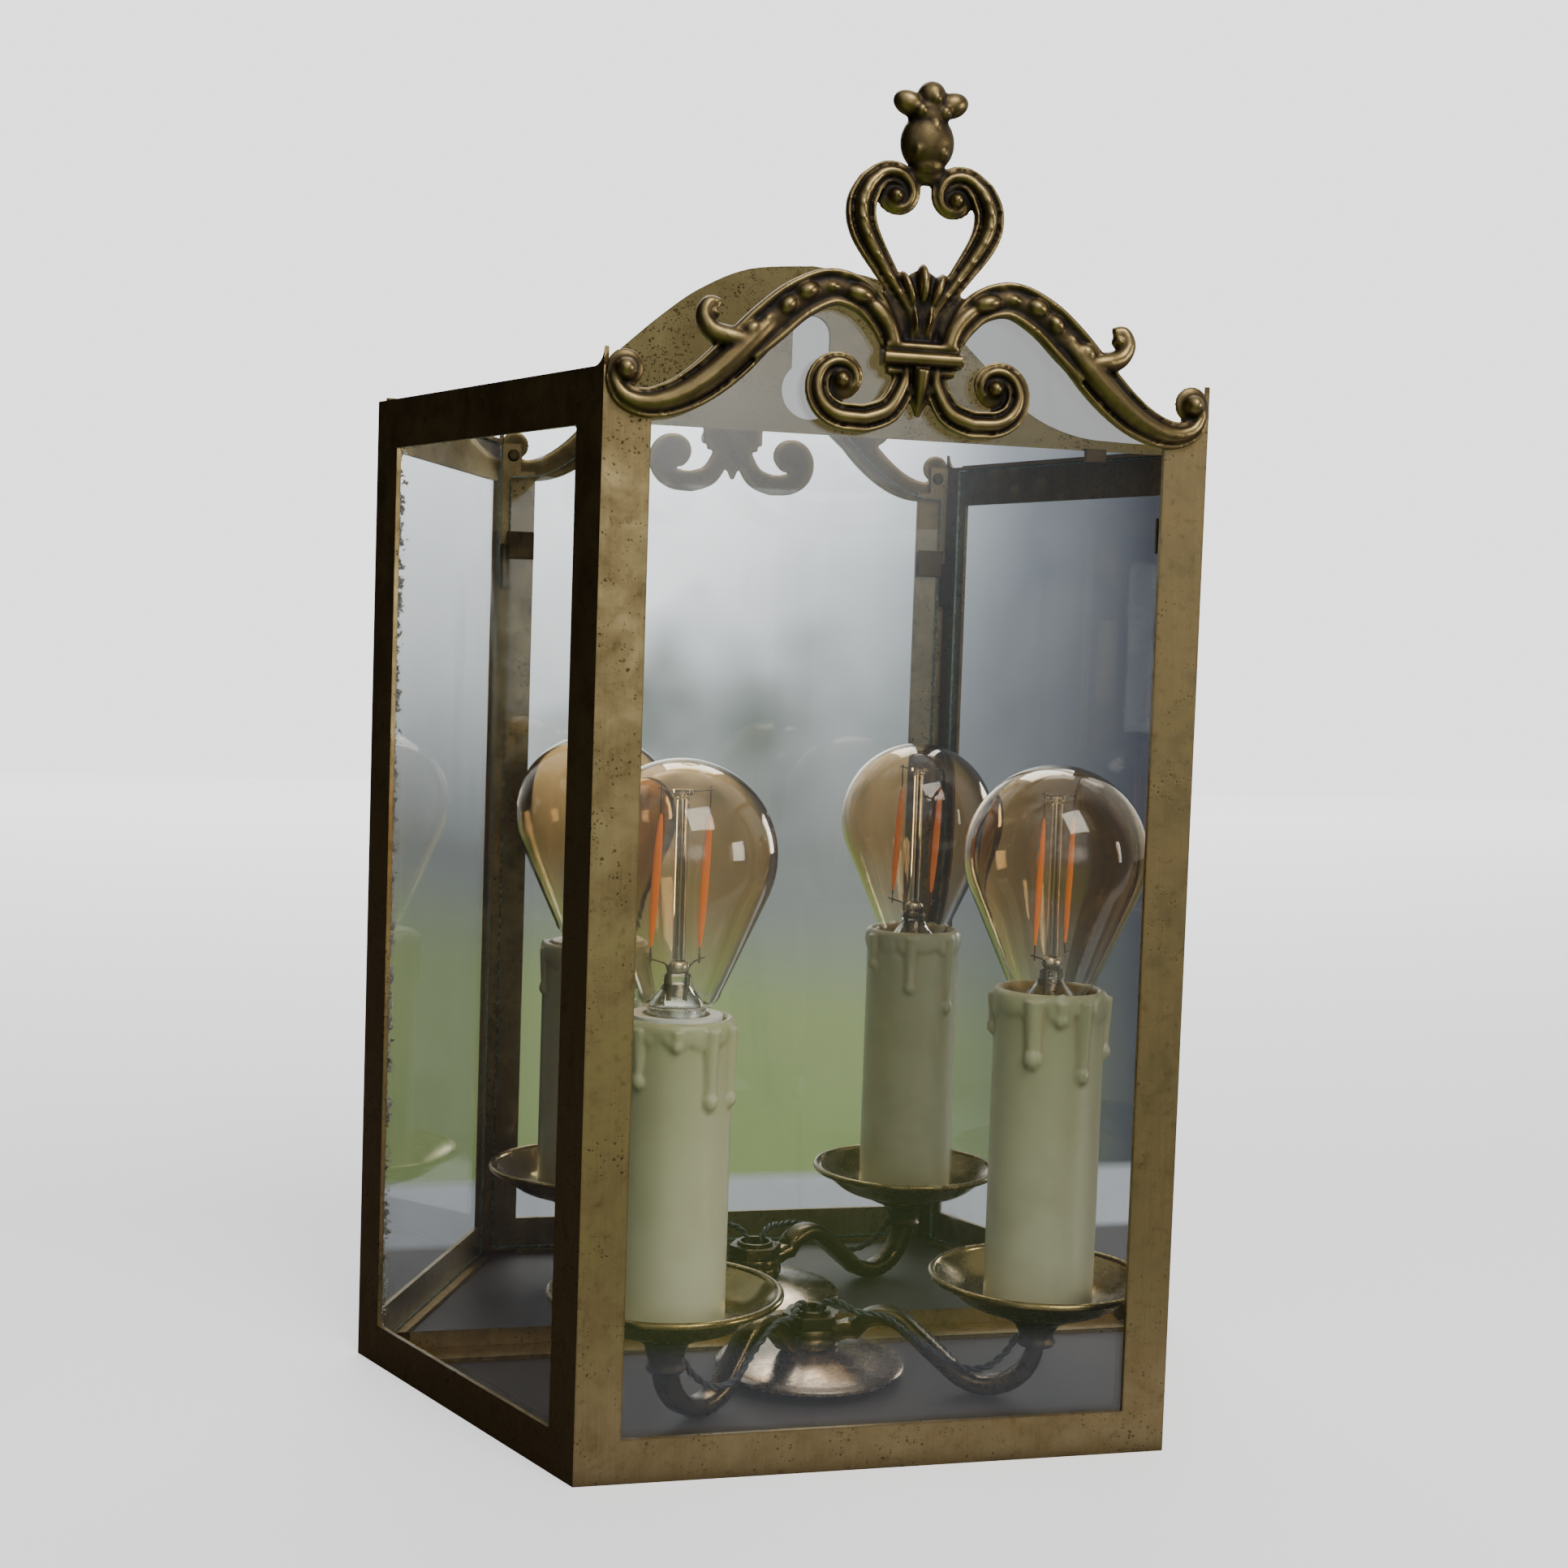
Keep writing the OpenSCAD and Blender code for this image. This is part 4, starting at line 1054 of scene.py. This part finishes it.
bulbWork = {
    "globe": 22.5, "centre": 136, "neck": (10.3, 104), "wall": 0.8, "foot": 101.1, "capHeight": 21.1,
    # turned outlines: radius and height
    "stem": [(0.7, 108.6), (1.5, 108.6), (1.5, 148.8), (1.9, 149.8), (2.6, 150.3), (2.6, 151.2),
             (0.9, 151.2), (0.7, 150)],
    "skirt": [(5.7, 101.2), (6.4, 101.2), (6.1, 102.2), (4.9, 103.6), (3.9, 105.0), (3.3, 106.2),
              (2.5, 106.2), (3.2, 104.6), (4.2, 103.1), (5.3, 101.9)],
    "pinch": (6.8, 3.4, 5.0), "pinchAt": 106.2, "pinchRound": 1.3,
    "bead": (2.7, 2.0, 1.9), "beadAt": 110.0, "collar": (1.5, 3.4), "collarAt": 104.6,
    "pairAxis": {"left": 0.0, "right": 30.0}, "spread": 5.8, "filamentLow": 114, "filamentHigh": 146,
    "rod": (1.0, 0.6), "rodLean": 3.0, "lead": 0.22, "pin": 0.6,
    "threadTurns": 6, "threadTall": 14, "threadRadius": 6.75, "threadDepth": 0.25,
}


def bulbOutline(inset):
    # from the foot, round the neck's little step, along the flank and over the globe
    work = bulbWork
    neckRadius, neckHigh = work["neck"]
    r = work["globe"] - inset
    drop = work["centre"] - neckHigh
    span = math.hypot(neckRadius, drop)
    start = math.degrees(math.atan2(drop, neckRadius) - math.acos(work["globe"] / span))
    outline = [(neckRadius - 1.9 - inset, work["foot"]), (neckRadius - 0.9 - inset, work["foot"] + 1.1),
               (neckRadius - 0.25 - inset, neckHigh - 0.9), (neckRadius + 0.15 - inset, neckHigh + 0.4)]
    steps = 26
    for k in range(steps + 1):
        a = math.radians(-start + (90 + start) * k / steps)
        outline.append((max(0, r * math.cos(a)), work["centre"] + r * math.sin(a)))
    return outline


def turnToPair(obj, side):
    obj.rotation_euler = (0, 0, math.radians(bulbWork["pairAxis"][side]))
    return atLamp(obj, side)


def stemGlass():
    # stem, flare and pinch
    work = bulbWork
    stem = turned(work["stem"], 32)
    skirt = turned(work["skirt"], 48)
    clearSelection()
    bpy.ops.mesh.primitive_cube_add(size=1, location=(0, 0, work["pinchAt"] * mm),
                                    scale=[size * mm for size in work["pinch"]])
    pinch = bpy.context.object
    applyPlace(pinch)
    useModifier(pinch, "BEVEL", width=work["pinchRound"] * mm, segments=4)
    smoothAll(pinch)
    return joinAll([stem, skirt, pinch], "stem")


def filamentRod(way):
    # a coated rod that leans a little, with rounded ends
    work = bulbWork
    low, high = work["filamentLow"], work["filamentHigh"]
    clearSelection()
    bpy.ops.mesh.primitive_uv_sphere_add(segments=20, ring_count=24, radius=1,
                                         location=(way * work["spread"] * mm, 0, (low + high) / 2 * mm),
                                         scale=(work["rod"][0] * mm, work["rod"][1] * mm,
                                                (high - low) / 2 * mm))
    rod = bpy.context.object
    # swells the ends, so that it is a rod and not a spindle
    for vert in rod.data.vertices:
        fall = math.sqrt(max(1e-6, 1 - vert.co.z ** 2))
        swell = min(30, min(1, (1 - abs(vert.co.z)) * 18 + 0.3) / fall)
        vert.co.x *= swell
        vert.co.y *= swell
    rod.rotation_euler = (0, math.radians(work["rodLean"]), 0)
    applyPlace(rod)
    smoothAll(rod)
    return rod


def filamentLeads(way):
    # hooks at both ends of a rod, and the pin that carries them
    work = bulbWork
    low, high = work["filamentLow"], work["filamentHigh"]
    lean = math.sin(math.radians(work["rodLean"])) * (high - low) / 2
    topX, lowX = way * work["spread"] + lean, way * work["spread"] - lean
    runs = [
        [(way * 1.9, 0, 150.6), (way * 3.4, 0, 150.9), (topX * 1.02, 0, 151.3), (topX + way * 0.9, 0, 151.4)],
        [(topX, 0, 152.1), (topX, 0, 149.5), (topX, 0, high - 0.6)],
        [(way * 1.9, 0, 107.0), (way * 2.5, 0, 109.6), (way * 3.3, 0, 110.9), (lowX, 0, 111.9),
         (lowX + way * 1.2, 0, 112.3)],
        [(lowX, 0, 110.9), (lowX, 0, 112.5), (lowX, 0, low + 0.6)],
    ]
    wires = [strand([Vector(p) * mm for p in flow(run, 5)], work["lead"] * mm) for run in runs]
    pin = [Vector((way * 1.9, 0, 102.2)) * mm, Vector((way * 2.1, 0, 108.6)) * mm]
    return wires + [strand(pin, work["pin"] * mm)]


def sealMetal():
    # the squashed bead over the pinch, and the collar under it
    work = bulbWork
    clearSelection()
    bpy.ops.mesh.primitive_uv_sphere_add(segments=24, ring_count=12, radius=1,
                                         location=(0, 0, work["beadAt"] * mm),
                                         scale=[size * mm for size in work["bead"]])
    bead = bpy.context.object
    applyPlace(bead)
    smoothAll(bead)
    radius, tall = work["collar"]
    bpy.ops.mesh.primitive_cylinder_add(vertices=24, radius=radius * mm, depth=tall * mm,
                                        location=(0, 0, work["collarAt"] * mm))
    collar = bpy.context.object
    applyPlace(collar)
    useModifier(collar, "BEVEL", width=0.3 * mm, segments=2)
    smoothBy(collar, 40)
    return joinAll([bead, collar], "seal")


def screwCap(base):
    # its thread rolled as rings
    work = bulbWork
    outline = [(0, base), (2.2, base), (4.4, base + 1.2), (6.3, base + 2.0)]
    steps = work["threadTurns"] * 4
    for k in range(steps + 1):
        outline.append((work["threadRadius"] + work["threadDepth"] * math.cos(math.tau * k / 4),
                        base + 3 + work["threadTall"] * k / steps))
    top = base + work["capHeight"]
    outline += [(6.9, top - 2.5), (6.9, top - 0.3), (6.6, top), (0, top)]
    return turned(outline, 64, closed=False)


def buildBulb(side):
    body = "bulb_" + side
    shell = turned(bulbOutline(0) + list(reversed(bulbOutline(bulbWork["wall"]))), 96)
    smoothAll(shell)
    atLamp(shell, side)
    keep(shell, "bulb_glass_" + side + "_blown", body, finish["amberGlass"],
         ["bulb_glass_" + side])
    glass = turnToPair(stemGlass(), side)
    keep(glass, "bulb_stem_" + side + "_drawn", body, finish["clearGlass"],
         ["bulb_stem_" + side])
    rods, wires = [], []
    for way in (-1, 1):
        rods.append(filamentRod(way))
        wires += filamentLeads(way)
    keep(atLamp(sealMetal(), side), "bulb_seal_" + side, body, finish["capMetal"])
    pair = turnToPair(joinAll(rods, "rods"), side)
    leads = turnToPair(joinAll(wires, "leads"), side)
    keep(pair, "filaments_" + side + "_coated", body, finish["filamentOrangeGlow"],
         ["filaments_" + side])
    keep(leads, "filament_leads_" + side, body, finish["leadWire"])
    cap = atLamp(screwCap(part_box("bulb_cap_" + side)[0].z / mm), side)
    keep(cap, "bulb_cap_" + side + "_rolled", body, finish["capMetal"], ["bulb_cap_" + side])


for side in sides:
    buildBulb(side)
print("bulbs built")


wireWork = {"radius": 0.55, "offset": 0.42, "twist": 5.5}


def wireRun(reach, hand):
    # up out of the nipple, over the arm's crest, along its flank and up to the stud: out, aside, up
    return [(1.6, 0, 1.5), (1.6, 0, 9), (1.8, 0, 15.5), (3.4, 0.5 * hand, 19.4), (7.5, 2 * hand, 20.6),
            (13, 4.9 * hand, 19.4), (20, 5.1 * hand, 19), (27, 5.1 * hand, 14.6), (reach - 19, 5 * hand, 8.6),
            (reach - 12, 4 * hand, 8.4), (reach - 7, 2 * hand, 12.4), (reach - 4.7, 0.6 * hand, 16.4)]


def buildWire(side):
    # two insulated cores twisted round each other
    work = wireWork
    towards = lampAt[side] - discCentre
    hand = 1 if side == "left" else -1
    run = [p * mm for p in flow(wireRun(towards.xy.length / mm, hand), 8)]
    cores = []
    for phase in (0, math.pi):
        path = []
        travelled = 0
        for i, p in enumerate(run):
            if i:
                travelled += (p - run[i - 1]).length
            along = (run[min(i + 1, len(run) - 1)] - run[max(i - 1, 0)]).normalized()
            sideways = along.cross(Vector((0.1, 1, 0.2))).normalized()
            a = phase + math.tau * travelled / (work["twist"] * mm)
            outward = math.cos(a) * sideways + math.sin(a) * along.cross(sideways)
            path.append(p + work["offset"] * mm * outward)
        cores.append(strand(path, work["radius"] * mm, 2))
    wire = joinAll(cores, "wire")
    wire.rotation_euler = (0, 0, math.atan2(towards.y, towards.x))
    wire.location = discCentre
    keep(wire, "wire_" + side + "_twisted", "lantern", finish["insulation"], ["wire_" + side])


for side in sides:
    buildWire(side)
print("wires built")


# what stays as the CAD made it
kept = {"crest_rivets": "trimBrass", "strap_rivets": "trimBrass"}
lampParts = {"stud": "steel", "holder_bracket": "steel", "holder_body": "holderPlastic",
             "thread_shell": "panBrass", "contact": "panBrass"}
for side in sides:
    kept.update({part + "_" + side: name for part, name in lampParts.items()})
for node, name in kept.items():
    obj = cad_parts[node]
    obj.data.materials.clear()
    obj.data.materials.append(finish[name])
print("kept nodes painted")


stageWork = {
    "floorLow": (-2.4, -2.4), "floorHigh": (2.4, 2.4), "floorThick": 0.02, "floorColour": (0.84, 0.83, 0.82),
    # what the brass, the mirror and the glass see of the floor: a pale strip in front, dark elsewhere
    "stripColour": (0.46, 0.47, 0.5), "underColour": (0.05, 0.04, 0.036),
    "stripLeft": (-0.14, -0.09), "stripBack": (-0.055, -0.047), "stripFront": (-0.12, -0.135),
    # the far floor melts into the pale backdrop: from, to, lift there
    "fade": (0.2, 1.9, 0.75, 1.9), "backdrop": (2.2, 2.2, 2.2),
}


def floorPaper():
    # pale to look at; what it lends to the brass and glass is duller, and a short way in front of the
    # lantern it is gone for them, so that the mirror looks out over a lawn
    work = stageWork
    material, tree, shader = newMaterial("floorPaper", roughness=0.6)
    grain = put(tree, "TexNoise", {"Vector": objectPosition(tree), "Scale": 40.0, "Detail": 4.0})
    parts = put(tree, "SeparateXYZ", {"Vector": put(tree, "NewGeometry").outputs["Position"]})
    x, y = parts.outputs["X"], parts.outputs["Y"]
    lent = blendColour(tree, remap(tree, x, *work["stripLeft"]), work["underColour"], work["stripColour"])
    lent = blendColour(tree, remap(tree, y, *work["stripBack"]), lent, work["underColour"])
    paper = blendColour(tree, grain.outputs["Fac"], tuple(c * 0.98 for c in work["floorColour"]),
                        work["floorColour"])
    later = calc(tree, "GREATER_THAN", put(tree, "LightPath").outputs["Ray Depth"], 0.5)
    tree.links.new(blendColour(tree, later, paper, lent), shader.inputs["Base Color"])
    shader.inputs["Emission Color"].default_value = (1, 1, 1, 1)
    seenFirst = calc(tree, "SUBTRACT", 1.0, later)
    tree.links.new(calc(tree, "MULTIPLY", seenFirst, remap(tree, y, *work["fade"])),
                   shader.inputs["Emission Strength"])
    ahead = remap(tree, y, *work["stripFront"])
    either = put(tree, "MixShader", {0: calc(tree, "MULTIPLY", later, ahead)})
    tree.links.new(shader.outputs[0], either.inputs[1])
    tree.links.new(put(tree, "BsdfTransparent").outputs[0], either.inputs[2])
    tree.links.new(either.outputs[0], tree.nodes["Material Output"].inputs["Surface"])
    return material


clearSelection()
floorLow = Vector((*stageWork["floorLow"], -stageWork["floorThick"]))
floorHigh = Vector((*stageWork["floorHigh"], 0))
bpy.ops.mesh.primitive_cube_add(size=1, location=(floorLow + floorHigh) / 2, scale=floorHigh - floorLow)
floor = bpy.context.object
floor.name = "floor"
floor.data.materials.append(floorPaper())

lamps = [
    # name, place, aim, width, height, power, colour
    ("keySoftbox", (1.2, -0.72, 0.3), (0, 0, 0.14), 0.4, 0.45, 5.5, (1.0, 0.97, 0.93)),
    ("highSoftbox", (0.35, -1.2, 1.5), (0, 0, 0.1), 0.9, 0.9, 20, (1.0, 0.98, 0.95)),
    ("backSoftbox", (0.2, 1.3, 1.3), (0, 0, 0.1), 1.2, 1.2, 9, (1.0, 1.0, 1.0)),
]
for name, place, aim, width, height, power, colour in lamps:
    light = bpy.data.objects.new(name, bpy.data.lights.new(name, "AREA"))
    bpy.context.collection.objects.link(light)
    light.data.shape = "RECTANGLE"
    light.data.size = width
    light.data.size_y = height
    light.data.energy = power
    light.data.color = colour
    light.location = place
    light.rotation_euler = (Vector(aim) - Vector(place)).to_track_quat("-Z", "Y").to_euler()

skyWork = {
    "cloudLow": (0.5, 0.58, 0.7), "cloudHigh": (1.1, 1.15, 1.22), "haze": (0.33, 0.35, 0.33),
    "lawnNear": (0.25, 0.36, 0.1), "lawnFar": (0.36, 0.44, 0.2),
    # soft round patches: direction, full within, gone beyond, colour
    "patches": [((0.1, -0.98, 0.09), 0.08, 0.26, (2.7, 2.75, 2.8)),
                ((0.235, -0.97, -0.04), 0.02, 0.075, (0.2, 0.25, 0.2))],
    "wallRight": (0.09, 0.095, 0.12), "darkLeft": (0.05, 0.048, 0.045),
    "backLow": (0.4, 0.4, 0.4), "backHigh": (0.6, 0.6, 0.6), "darkBackLeft": (0.018, 0.015, 0.012),
}


def lightSky():
    # in front a pale sky with clouds and a bush above a muted green, dark at both sides; plain behind
    work = skyWork
    world = bpy.data.worlds.new("studio")
    bpy.context.scene.world = world
    world.use_nodes = True
    tree = world.node_tree
    aim = put(tree, "TexCoord").outputs["Generated"]
    parts = put(tree, "SeparateXYZ", {"Vector": aim})
    x, y, z = (parts.outputs[axis] for axis in "XYZ")
    soft = put(tree, "TexNoise", {"Vector": aim, "Scale": 2.2, "Detail": 3.0})
    height = calc(tree, "ADD", z, remap(tree, soft.outputs["Fac"], 0.3, 0.7, -0.05, 0.05))
    clouds = put(tree, "TexNoise", {"Vector": aim, "Scale": 7.0, "Detail": 3.0}).outputs["Fac"]
    fray = remap(tree, clouds, 0.3, 0.7, -0.06, 0.06)
    sky = blendColour(tree, remap(tree, clouds, 0.42, 0.62), work["cloudLow"], work["cloudHigh"])
    for middle, near, far, colour in work["patches"]:
        away = put(tree, "VectorMath", {0: aim, 1: middle}, operation="DISTANCE").outputs["Value"]
        sky = blendColour(tree, remap(tree, calc(tree, "ADD", away, fray), far, near), sky, colour)
    lawn = blendColour(tree, remap(tree, z, -0.4, -0.16), work["lawnNear"], work["lawnFar"])
    above = blendColour(tree, remap(tree, height, -0.1, 0.12), work["haze"], sky)
    ahead = blendColour(tree, remap(tree, height, -0.17, -0.11), lawn, above)
    ahead = blendColour(tree, remap(tree, x, 0.28, 0.4), ahead, work["wallRight"])
    ahead = blendColour(tree, remap(tree, x, -0.5, -0.8), ahead, work["darkLeft"])
    behind = blendColour(tree, remap(tree, z, -0.05, 0.6), work["backLow"], work["backHigh"])
    behind = blendColour(tree, remap(tree, x, -0.2, -0.45), behind, work["darkBackLeft"])
    around = blendColour(tree, remap(tree, y, 0.1, -0.2), behind, ahead)
    seen = blendColour(tree, put(tree, "LightPath").outputs["Is Camera Ray"], around, stageWork["backdrop"])
    tree.links.new(seen, tree.nodes["Background"].inputs["Color"])
    tree.nodes["Background"].inputs["Strength"].default_value = 1.0


lightSky()
print("stage lit")
